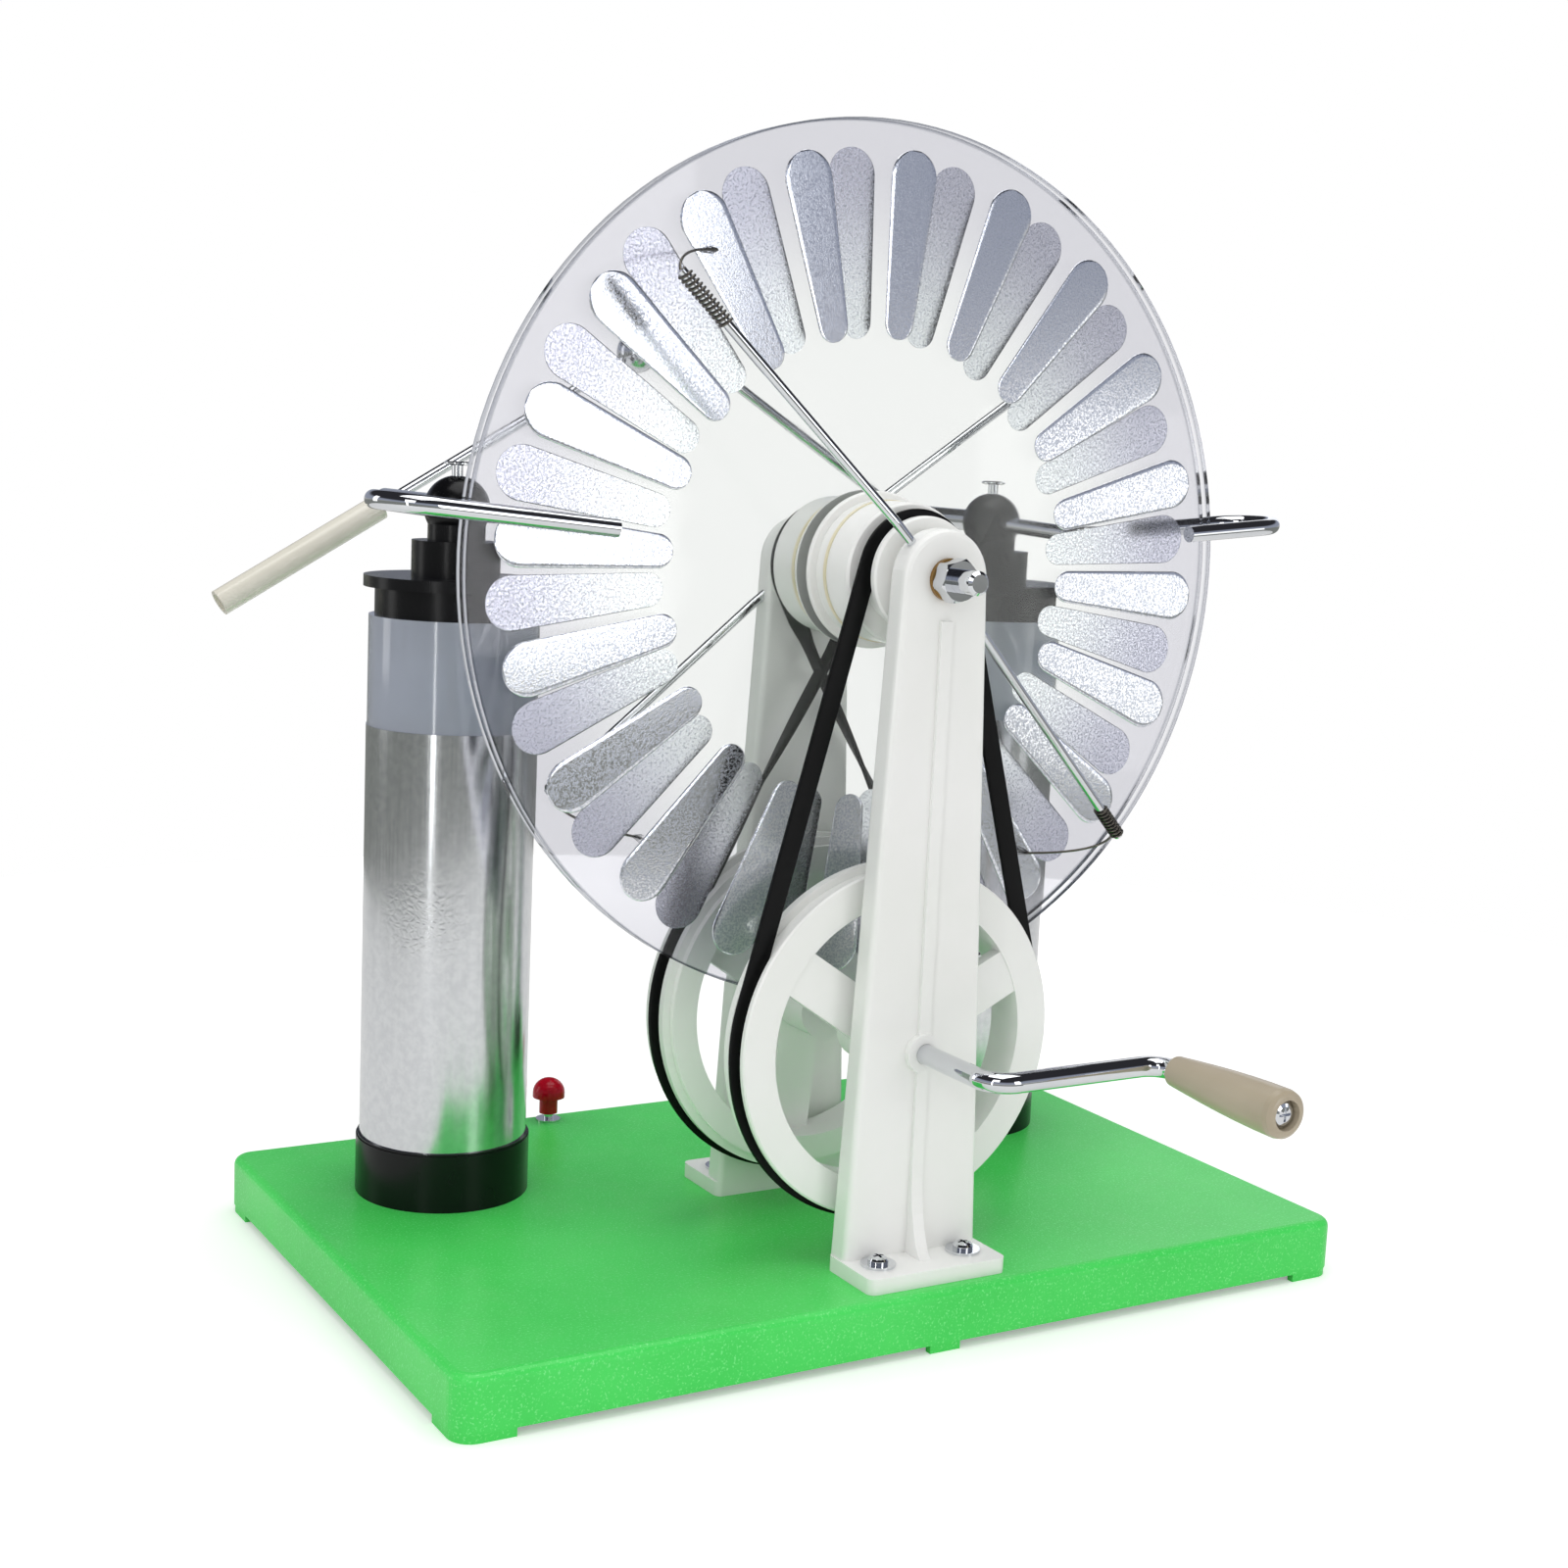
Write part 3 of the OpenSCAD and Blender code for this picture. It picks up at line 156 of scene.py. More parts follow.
def buildCreases():   # sharp little folds of thin foil in all directions, and fine lines along Z from rolling
    group, inward, outward = startGroup("foilCreases", [("Scale", 120.0)], ["Folds", "Lines"])
    point = objectPoint(group)
    wander = group.nodes.new("ShaderNodeTexNoise")
    wander.inputs["Scale"].default_value = effects["foldWanderScale"]
    group.links.new(point, wander.inputs["Vector"])
    bent = group.nodes.new("ShaderNodeVectorMath")
    bent.operation = "MULTIPLY_ADD"
    bent.inputs[1].default_value = [effects["foldWander"]] * 3
    group.links.new(wander.outputs["Color"], bent.inputs[0])
    group.links.new(point, bent.inputs[2])
    cells = group.nodes.new("ShaderNodeTexVoronoi")
    cells.feature = "DISTANCE_TO_EDGE"
    group.links.new(bent.outputs[0], cells.inputs["Vector"])
    group.links.new(inward.outputs["Scale"], cells.inputs["Scale"])
    group.links.new(spread(group, cells.outputs["Distance"], 0.0, effects["foldWidth"]), outward.inputs["Folds"])
    rolled = noiseIn(group, objectPoint(group, effects["rolledStretch"]), 1.0, 3.0, 0.6)
    group.links.new(rolled, outward.inputs["Lines"])
    return group


def buildDust():   # thin dust on faces that look up
    group, inward, outward = startGroup("settledDust", [("Amount", 0.15)], ["Dust"])
    geometry = group.nodes.new("ShaderNodeNewGeometry")
    axes = group.nodes.new("ShaderNodeSeparateXYZ")
    group.links.new(geometry.outputs["Normal"], axes.inputs["Vector"])
    up = spread(group, axes.outputs["Z"], *effects["dustSlope"])
    patchy = spread(group, noiseIn(group, objectPoint(group), effects["dustScale"], 6.0, 0.7), *effects["dustEdges"])
    dust = combine(group, "MULTIPLY", up, patchy)
    group.links.new(combine(group, "MULTIPLY", dust, inward.outputs["Amount"]), outward.inputs["Dust"])
    return group


surfaceGrain = buildSurfaceGrain()
handlingMarks = buildHandlingMarks()
foilSpeckle = buildSpeckle()
foilCreases = buildCreases()
settledDust = buildDust()


def placeGroup(tree, group, **values):
    node = tree.nodes.new("ShaderNodeGroup")
    node.node_tree = group
    for label, value in values.items():
        node.inputs[label.replace("_", " ")].default_value = value
    return node


def blendColour(tree, factor, a, b):
    node = tree.nodes.new("ShaderNodeMix")
    node.data_type = "RGBA"
    tree.links.new(factor, node.inputs["Factor"])
    for slot, v in (("A", a), ("B", b)):
        socket = next(s for s in node.inputs if s.name == slot and s.type == "RGBA")
        if isinstance(v, list):
            socket.default_value = v
        else:
            tree.links.new(v, socket)
    return next(s for s in node.outputs if s.type == "RGBA")


def bumpFrom(tree, height, distance, strength=1.0, under=None):
    node = tree.nodes.new("ShaderNodeBump")
    node.inputs["Distance"].default_value = distance
    node.inputs["Strength"].default_value = strength
    tree.links.new(height, node.inputs["Height"])
    if under is not None:
        tree.links.new(under, node.inputs["Normal"])
    return node.outputs["Normal"]


# colour and shade are mixed by the drift; gloss runs from smooth to worn; grain and depth in mm
finishes = {
    # the base's fleck colour paints glints on the crests of its grain
    "baseGreen": {"colour": "50e566", "shade": "46db5d", "gloss": (0.28, 0.42), "grain": 0.8, "depth": 0.08,
                  "marks": 0.2, "dust": 0.04, "shine": 0.35, "paintedGlint": "78ee8a"},
    "milkyPlastic": {"colour": "f9f9f7", "shade": "f4f5f2", "gloss": (0.26, 0.36), "grain": 0.9, "depth": 0.010,
                     "marks": 0.15, "dust": 0.0, "glow": 0.25},
    "creamPlastic": {"colour": "efe7c9", "shade": "e6dcb8", "gloss": (0.3, 0.42), "grain": 0.8, "depth": 0.01,
                     "marks": 0.2, "dust": 0.0, "glow": 0.2},
    "blackPlastic": {"colour": "0c0c0e", "shade": "131315", "gloss": (0.24, 0.4), "grain": 0.7, "depth": 0.014,
                     "marks": 0.4, "dust": 0.03, "shine": 0.25},
    "beigePlastic": {"colour": "b9ad98", "shade": "aea28c", "gloss": (0.28, 0.42), "grain": 0.9, "depth": 0.015,
                     "marks": 0.3, "dust": 0.0, "glow": 0.1},
    "redPlastic": {"colour": "c60a26", "shade": "ab0820", "gloss": (0.16, 0.3), "grain": 0.9, "depth": 0.01,
                   "marks": 0.3, "dust": 0.0, "shine": 0.3},
    "handlePlastic": {"colour": "f2eee2", "shade": "eae6d8", "gloss": (0.16, 0.28), "grain": 1.2, "depth": 0.006,
                      "marks": 0.15, "dust": 0.0, "coat": 0.4},
    "beltRubber": {"colour": "060607", "shade": "0e0e0f", "gloss": (0.42, 0.6), "grain": 0.35, "depth": 0.03,
                   "marks": 0.4, "dust": 0.0, "shine": 0.15},
    "chrome": {"colour": "e3e5e8", "shade": "d8dade", "gloss": (0.03, 0.09), "grain": 3.0, "depth": 0.004,
               "marks": 0.3, "dust": 0.0, "metal": 1.0},
    "brass": {"colour": "b8945a", "shade": "94713f", "gloss": (0.25, 0.42), "grain": 0.8, "depth": 0.01,
              "marks": 0.5, "dust": 0.0, "metal": 1.0},
    "brushSteel": {"colour": "6e6a63", "shade": "4a4640", "gloss": (0.14, 0.28), "grain": 0.4, "depth": 0.01,
                   "marks": 0.4, "dust": 0.0, "metal": 1.0},
}


# the same on every solid finish: depths in mm
finishShared = {"driftScale": 14.0, "hairlineDepth": 0.006, "hairlineStrength": 0.5, "paintedGlintEdges": (0.56, 0.70),
                "coatRoughness": 0.12, "glowDepth": 3}


def startMaterial(name):
    material = bpy.data.materials.new(name)
    material.use_nodes = True
    tree = material.node_tree
    return material, tree, tree.nodes["Principled BSDF"]


def makeFinish(name, look):   # solid finish: drifting colour, gloss broken by hairlines and smears, orange peel
    material, tree, shader = startMaterial(name)
    grain = placeGroup(tree, surfaceGrain, Scale=1 / (look["grain"] * mm), Drift_Scale=finishShared["driftScale"])
    marks = placeGroup(tree, handlingMarks, Amount=look["marks"])
    colour = blendColour(tree, grain.outputs["Drift"], paint(look["colour"]), paint(look["shade"]))
    if "paintedGlint" in look:  # painted glints: paler specks on the crests of the grain, where light catches
        glintShare = spread(tree, grain.outputs["Height"], *finishShared["paintedGlintEdges"])
        colour = blendColour(tree, glintShare, colour, paint(look["paintedGlint"]))
    if look["dust"]:
        dust = placeGroup(tree, settledDust, Amount=look["dust"])
        colour = blendColour(tree, dust.outputs["Dust"], colour, paint(effects["dustColour"]))
    tree.links.new(colour, shader.inputs["Base Color"])
    worn = combine(tree, "MAXIMUM", marks.outputs["Hairlines"], marks.outputs["Smears"])
    low, high = look["gloss"]
    tree.links.new(spread(tree, worn, 0.0, 1.0, low, high), shader.inputs["Roughness"])
    peel = bumpFrom(tree, grain.outputs["Height"], look["depth"] * mm)
    scratched = bumpFrom(tree, marks.outputs["Hairlines"], finishShared["hairlineDepth"] * mm,
                         finishShared["hairlineStrength"], peel)
    tree.links.new(scratched, shader.inputs["Normal"])
    shader.inputs["Metallic"].default_value = look.get("metal", 0.0)
    if "shine" in look:
        shader.inputs["Specular IOR Level"].default_value = look["shine"]
    if "coat" in look:
        shader.inputs["Coat Weight"].default_value = look["coat"]
        shader.inputs["Coat Roughness"].default_value = finishShared["coatRoughness"]
    if "glow" in look:  # light that soaks in and comes out again
        shader.inputs["Subsurface Weight"].default_value = look["glow"]
        shader.inputs["Subsurface Radius"].default_value = (1.0, 1.0, 1.0)
        shader.inputs["Subsurface Scale"].default_value = finishShared["glowDepth"] * mm
    return material


finish = {name: makeFinish(name, look) for name, look in finishes.items()}

clearLook = {
    # painted shade: the disc greys towards its border, and a dark line is painted at its outer edge
    "discAcrylic": {"colour": "f8f9f8", "edge": "ebebee", "edgeFrom": 80, "edgeTo": 138,
                    "rim": "a2a5ac", "rimFrom": 149.0, "haze": (0.03, 0.09), "milkShare": 0.006, "bends": 1.22},
    "smokyAcrylic": {"colour": "bfc5d2", "haze": (0.05, 0.15), "milkShare": 0.6, "bends": 1.45,
                     "coat": 0.7},
}
clearShared = {"marks": 0.8, "grainScale": 200.0, "driftScale": 10.0, "grainDepth": 0.004, "rimWidth": 0.8,   # mm
               "coatRoughness": 0.08, "lampTint": (0.93, 0.94, 0.94, 1)}


def makeClear(name, look):   # clear plastic with a milky share; lamps pass through it
    material, tree, shader = startMaterial(name)
    output = tree.nodes["Material Output"]
    marks = placeGroup(tree, handlingMarks, Amount=clearShared["marks"])
    grain = placeGroup(tree, surfaceGrain, Scale=clearShared["grainScale"], Drift_Scale=clearShared["driftScale"])
    worn = combine(tree, "MAXIMUM", marks.outputs["Hairlines"], marks.outputs["Smears"])
    low, high = look["haze"]
    if "edge" in look:  # painted shade: greyer towards the disc's outer border, with a painted dark line at its very edge
        reach = tree.nodes.new("ShaderNodeVectorMath")
        reach.operation = "DISTANCE"
        reach.inputs[1].default_value = (0, machine["discMidY"], machine["axleZ"])
        tree.links.new(objectPoint(tree), reach.inputs[0])
        paintedShadeShare = spread(tree, reach.outputs["Value"], look["edgeFrom"] * mm, look["edgeTo"] * mm)
        tintAndAnyPaintedShade = blendColour(tree, paintedShadeShare, paint(look["colour"]), paint(look["edge"]))
        # painted shade: a dark line at the disc's outer edge
        paintedLineShare = spread(tree, reach.outputs["Value"], look["rimFrom"] * mm,
                       (look["rimFrom"] + clearShared["rimWidth"]) * mm)
        tintAndAnyPaintedShade = blendColour(tree, paintedLineShare, tintAndAnyPaintedShade, paint(look["rim"]))
    else:
        pale = paint(look["colour"])
        tintAndAnyPaintedShade = blendColour(tree, grain.outputs["Drift"], pale, [0.9 * c for c in pale])
    tree.links.new(tintAndAnyPaintedShade, shader.inputs["Base Color"])
    tree.links.new(spread(tree, worn, 0.0, 1.0, low, high), shader.inputs["Roughness"])
    tree.links.new(bumpFrom(tree, grain.outputs["Height"], clearShared["grainDepth"] * mm), shader.inputs["Normal"])
    shader.inputs["Transmission Weight"].default_value = 1 - look["milkShare"]
    shader.inputs["IOR"].default_value = look["bends"]
    if "coat" in look:
        shader.inputs["Coat Weight"].default_value = look["coat"]
        shader.inputs["Coat Roughness"].default_value = clearShared["coatRoughness"]
    lamps = tree.nodes.new("ShaderNodeLightPath")
    through = tree.nodes.new("ShaderNodeBsdfTransparent")
    through.inputs["Color"].default_value = clearShared["lampTint"]
    either = tree.nodes.new("ShaderNodeMixShader")
    tree.links.new(lamps.outputs["Is Shadow Ray"], either.inputs["Fac"])
    tree.links.new(shader.outputs["BSDF"], either.inputs[1])
    tree.links.new(through.outputs["BSDF"], either.inputs[2])
    tree.links.new(either.outputs["Shader"], output.inputs["Surface"])
    return material


for name, look in clearLook.items():
    finish[name] = makeClear(name, look)

foilLook = {
    "frontSectorFoil": {"bright": "f2f3f7", "dark": "c3c8d4", "gloss": (0.08, 0.26), "speckle": 0.8,
                        "grainDepth": 0.006, "creaseScale": 330.0, "creaseDepth": 0.0015},
    "rearSectorFoil": {"bright": "eeeff2", "dark": "b4b7c0", "gloss": (0.12, 0.30), "speckle": 0.8, "grainDepth": 0.014,
                       "creaseScale": 330.0, "creaseDepth": 0.0015},
    "jarFoil": {"bright": "dcdee0", "dark": "d2d4d7", "gloss": (0.13, 0.22), "speckle": 3.0, "grainDepth": 0.0003,
                "creaseScale": 380.0, "creaseDepth": 0.018, "rolledDepth": 0.022, "creased": (0.004, 0.026)},
}
# where hands have crumpled the jars' foil
creasePlaces = ((-0.152, 0.012, 0.150), (-0.136, 0.020, 0.125), (0.152, 0.058, 0.150))


def makeFoil(name, look):   # aluminium foil: speckled tone, uneven gloss, creases all over or where it was handled
    material, tree, shader = startMaterial(name)
    speckle = placeGroup(tree, foilSpeckle, Scale=1 / (look["speckle"] * mm))
    creases = placeGroup(tree, foilCreases, Scale=look["creaseScale"])
    tree.links.new(blendColour(tree, speckle.outputs["Grain"], paint(look["bright"]), paint(look["dark"])),
                   shader.inputs["Base Color"])
    low, high = look["gloss"]
    uneven = creases.outputs["Lines"] if "rolledDepth" in look else speckle.outputs["Grain"]
    tree.links.new(spread(tree, uneven, 0.0, 1.0, low, high), shader.inputs["Roughness"])
    folded = creases.outputs["Folds"]
    if "creased" in look:
        nearest = None
        for place in creasePlaces:
            away = tree.nodes.new("ShaderNodeVectorMath")
            away.operation = "DISTANCE"
            away.inputs[1].default_value = place
            tree.links.new(objectPoint(tree), away.inputs[0])
            reach = away.outputs["Value"]
            nearest = reach if nearest is None else combine(tree, "MINIMUM", nearest, reach)
        where = spread(tree, nearest, look["creased"][0], look["creased"][1], 1.0, 0.0)
        folded = combine(tree, "MULTIPLY", folded, where)
    creased = bumpFrom(tree, folded, look["creaseDepth"] * mm)
    if "rolledDepth" in look:
        creased = bumpFrom(tree, creases.outputs["Lines"], look["rolledDepth"] * mm, 1.0, creased)
    grained = bumpFrom(tree, speckle.outputs["Grain"], look["grainDepth"] * mm, 1.0, creased)
    tree.links.new(grained, shader.inputs["Normal"])
    shader.inputs["Metallic"].default_value = 1.0
    return material


for name, look in foilLook.items():
    finish[name] = makeFoil(name, look)
print("finishes made:", len(finish))

wearing = {
    "baseGreen": ["base_plate"],
    "milkyPlastic": ["front_upright", "rear_upright", "front_hub", "rear_hub", "front_drive_wheel", "rear_drive_wheel"],
    "creamPlastic": ["front_hub_ring", "rear_hub_ring"],
    "handlePlastic": ["left_arm_handle", "right_arm_handle"],
    "discAcrylic": ["front_disc", "rear_disc"],
    "smokyAcrylic": ["left_jar_tube", "right_jar_tube"],
    "frontSectorFoil": ["front_sectors"],
    "rearSectorFoil": ["rear_sectors"],
    "jarFoil": ["left_outer_foil", "right_outer_foil", "inner_foils"],
    "chrome": ["axle_stud", "axle_nuts", "disc_spacer", "upright_screws", "upright_washers", "wheel_set_screws",
               "crank_rod", "grip_screw", "front_neutralizer_rods", "rear_neutralizer_rods", "jar_screws",
               "left_thumbscrew", "right_thumbscrew", "left_collector_fork", "right_collector_fork",
               "left_arm_support", "right_arm_support", "left_discharge_rod", "right_discharge_rod",
               "left_spark_ball", "right_spark_ball", "terminal_studs", "terminal_washers"],
    "brass": ["axle_spring_washers", "hub_washers", "centre_electrodes"],
    "brushSteel": ["front_brushes", "rear_brushes"],
    "blackPlastic": ["jar_cups", "left_jar_lid", "right_jar_lid", "left_ball_head", "right_ball_head"],
    "beltRubber": ["front_belt", "rear_belt"],
    "beigePlastic": ["crank_grip"],
    "redPlastic": ["left_terminal_knob", "right_terminal_knob"],
}
for name, members in wearing.items():
    for member in members:
        mesh = nodes[member].data
        mesh.materials.clear()
        mesh.materials.append(finish[name])
dressed = {m for members in wearing.values() for m in members}
print("dressed:", len(dressed), "left:", sorted(set(nodes) - dressed))


def startTree(name, inputs):
    tree = bpy.data.node_groups.new(name, "GeometryNodeTree")
    tree.interface.new_socket("Geometry", in_out="INPUT", socket_type="NodeSocketGeometry")
    keys = {}
    for label, kind, value in inputs:
        socket = tree.interface.new_socket(label, in_out="INPUT", socket_type="NodeSocket" + kind)
        socket.default_value = value
        keys[label] = socket.identifier
    tree.interface.new_socket("Geometry", in_out="OUTPUT", socket_type="NodeSocketGeometry")
    return tree, tree.nodes.new("NodeGroupInput"), tree.nodes.new("NodeGroupOutput"), keys


def step(tree, kind, links=None, **settings):   # a node with its settings, and its inputs set or linked
    node = tree.nodes.new(kind)
    for name, value in settings.items():
        setattr(node, name, value)
    for socket, source in (links or {}).items():
        if isinstance(source, bpy.types.NodeSocket):
            tree.links.new(source, node.inputs[socket])
        else:
            node.inputs[socket].default_value = source
    return node


def readAttribute(tree, name, kind):
    node = step(tree, "GeometryNodeInputNamedAttribute", data_type=kind)
    node.inputs["Name"].default_value = name
    return node.outputs["Attribute"]


def endTree(tree, outward, geometry, material):
    solid = step(tree, "GeometryNodeRealizeInstances", {"Geometry": geometry})
    painted = step(tree, "GeometryNodeSetMaterial", {"Geometry": solid.outputs[0], "Material": material})
    tree.links.new(painted.outputs[0], outward.inputs[0])


def growMesh(name, tree, keys, values, startMesh):   # the plain mesh that the tree makes of startMesh
    holder = bpy.data.objects.new(name + "Start", startMesh)
    studio.collection.objects.link(holder)
    modifier = holder.modifiers.new("grow", "NODES")
    modifier.node_group = tree
    for label, value in values.items():
        modifier[keys[label]] = value
    grown = holder.evaluated_get(bpy.context.evaluated_depsgraph_get())
    mesh = bpy.data.meshes.new_from_object(grown)
    holder.modifiers.remove(modifier)
    bpy.data.objects.remove(holder)
    mesh.name = name
    return mesh


def addPiece(name, mesh, body, replaced, material=None):
    if material is not None:
        mesh.materials.clear()
        mesh.materials.append(material)
    piece = bpy.data.objects.new(name, mesh)
    studio.collection.objects.link(piece)
    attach(piece, body)
    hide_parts(*replaced)
    return piece


def sidePoint(point, rear):   # a point beside the discs, in mm: right, up from the axle, and out from the middle plane
    x, y, z = point
    return Vector((x * mm, machine["discMidY"] + (z if rear else -z) * mm, machine["axleZ"] + y * mm))


def sideVector(vector, rear):
    x, y, z = vector
    return Vector((x, z if rear else -z, y))


def lineMesh(name, points, closed, attributes=None):
    mesh = bpy.data.meshes.new(name)
    count = len(points)
    edges = [(i, (i + 1) % count) for i in range(count if closed else count - 1)]
    mesh.from_pydata(points, edges, [])
    for label, vectors in (attributes or {}).items():
        layer = mesh.attributes.new(label, "FLOAT_VECTOR", "POINT")
        layer.data.foreach_set("vector", [c for v in vectors for c in v])
    return mesh


beltLook = {
    "width": 6.9, "thickness": 1.75, "corner": 0.45,   # mm
    "out": 29.5,             # from the middle plane to the belt's middle
    "pulleyRadius": 18.7, "wheelRadius": 59.9,
    "crossShift": 1.15,      # each strand moves aside by this where they cross
    "onEdge": (0.78, 1.22),  # the strands stand on edge between these shares of the way to the crossing
    "smallSteps": 32, "crossedSmallSteps": 40, "largeSteps": 72, "strandSteps": 32,
}


def makeBeltTree():
    tree, inward, outward, keys = startTree("beltAlongPath", [
        ("Width", "Float", 0.007), ("Thickness", "Float", 0.0018), ("Corner", "Float", 0.0004)])
    path = step(tree, "GeometryNodeMeshToCurve", {"Mesh": inward.outputs["Geometry"]})
    across = readAttribute(tree, "across", "FLOAT_VECTOR")
    laid = step(tree, "GeometryNodeSetCurveNormal", {"Curve": path.outputs[0], "Normal": across}, mode="FREE")
    section = step(tree, "GeometryNodeCurvePrimitiveQuadrilateral",
                   {"Width": inward.outputs["Width"], "Height": inward.outputs["Thickness"]}, mode="RECTANGLE")
    rounded = step(tree, "GeometryNodeFilletCurve",
                   {"Curve": section.outputs[0], "Radius": inward.outputs["Corner"], "Count": 3}, mode="POLY")
    swept = step(tree, "GeometryNodeCurveToMesh", {"Curve": laid.outputs[0], "Profile Curve": rounded.outputs[0]})
    smooth = step(tree, "GeometryNodeSetShadeSmooth", {"Geometry": swept.outputs[0]})
    endTree(tree, outward, smooth.outputs[0], finish["beltRubber"])
    return tree, keys


def ease(f):
    return f * f * (3 - 2 * f)


def arcOfBelt(centreY, radius, start, end, steps, twist):
    rings = []
    for k in range(steps + 1):
        a = start + (end - start) * k / steps
        rings.append((radius * math.cos(math.radians(a)), centreY + radius * math.sin(math.radians(a)),
                      a + 90 if end > start else a - 90, twist, 0.0))
    return rings


def openBelt():
    gap, small, large = machine["axisGap"] / mm, beltLook["pulleyRadius"], beltLook["wheelRadius"]
    lean = math.degrees(math.asin((large - small) / gap))
    top = arcOfBelt(0, small, lean, 180 - lean, beltLook["smallSteps"], 0)
    return top + arcOfBelt(-gap, large, 180 - lean, 360 + lean, beltLook["largeSteps"], 0)


def crossedBelt():
    gap, small, large = machine["axisGap"] / mm, beltLook["pulleyRadius"], beltLook["wheelRadius"]
    lean = math.degrees(math.asin((large + small) / gap))
    middle = small / (small + large)
    flatFrom, flatTo = [middle * share for share in beltLook["onEdge"]]

    def turned(f):
        if f < flatFrom:
            return ease(f / flatFrom)
        return 1.0 if f < flatTo else 1 + ease((f - flatTo) / (1 - flatTo))

    def run(start, end, down):
        rings = []
        for k in range(1, beltLook["strandSteps"]):
            f = k / beltLook["strandSteps"]
            g = f if down else 1 - f
            half = turned(g)
            aside = beltLook["crossShift"] * (half if half <= 1 else 2 - half)
            rings.append((start[0] + (end[0] - start[0]) * f, start[1] + (end[1] - start[1]) * f,
                          math.degrees(math.atan2(end[1] - start[1], end[0] - start[0])),
                          90 * half if down else 360 - 90 * half, aside if down else -aside))
        return rings

    top = arcOfBelt(0, small, -lean, 180 + lean, beltLook["crossedSmallSteps"], 0)
    bottom = arcOfBelt(-gap, large, lean, -180 - lean, beltLook["largeSteps"], 180)
    return top + run(top[-1], bottom[0], True) + bottom + run(bottom[-1], top[0], False)


def makeBelts():
    tree, keys = makeBeltTree()
    for name, rings, rear, node in (("frontBelt", openBelt(), False, "front_belt"),
                                    ("rearBelt", crossedBelt(), True, "rear_belt")):
        points, across = [], []
        for x, y, heading, twist, aside in rings:
            points.append(sidePoint((x, y, beltLook["out"] + aside), rear))
            h, t = math.radians(heading), math.radians(twist)
            across.append(sideVector((-math.sin(h) * math.sin(t), math.cos(h) * math.sin(t), math.cos(t)), rear))
        mesh = growMesh(name, tree, keys, {
            "Width": beltLook["thickness"] * mm, "Thickness": beltLook["width"] * mm, "Corner": beltLook["corner"] * mm,
        }, lineMesh(name + "Path", points, True, {"across": across}))
        addPiece(name, mesh, "base", [node])
    print("belts laid")


makeBelts()

brushLook = {
    "wireRadius": 0.45, "coilPitch": 1.6, "coilRadius": 2.16,   # mm
    "tuftLength": 5.2, "tuftWidth": 0.5, "tuftRadius": 0.09, "tuftCount": 22,
    "frontAngle": 135.0, "frontCoils": (22, 15),
    "rearAngle": 37.0, "rearCoils": (18, 18),
    "tip": (120.0, 24.0, 4.35), "knee": (5, 6, -7), "root": (0.6, -0.8, 5.0),   # knee from the rod's end, root from tip
    "turnSteps": 16, "leadSteps": 24, "wireSides": 8, "bristleSides": 4, "splay": 0.17, "seed": 3,
}
rodLook = {"knee": 26.0, "kneeOut": 43.95, "end": 131.0, "endOut": 31.0}   # mm: along the rod and out


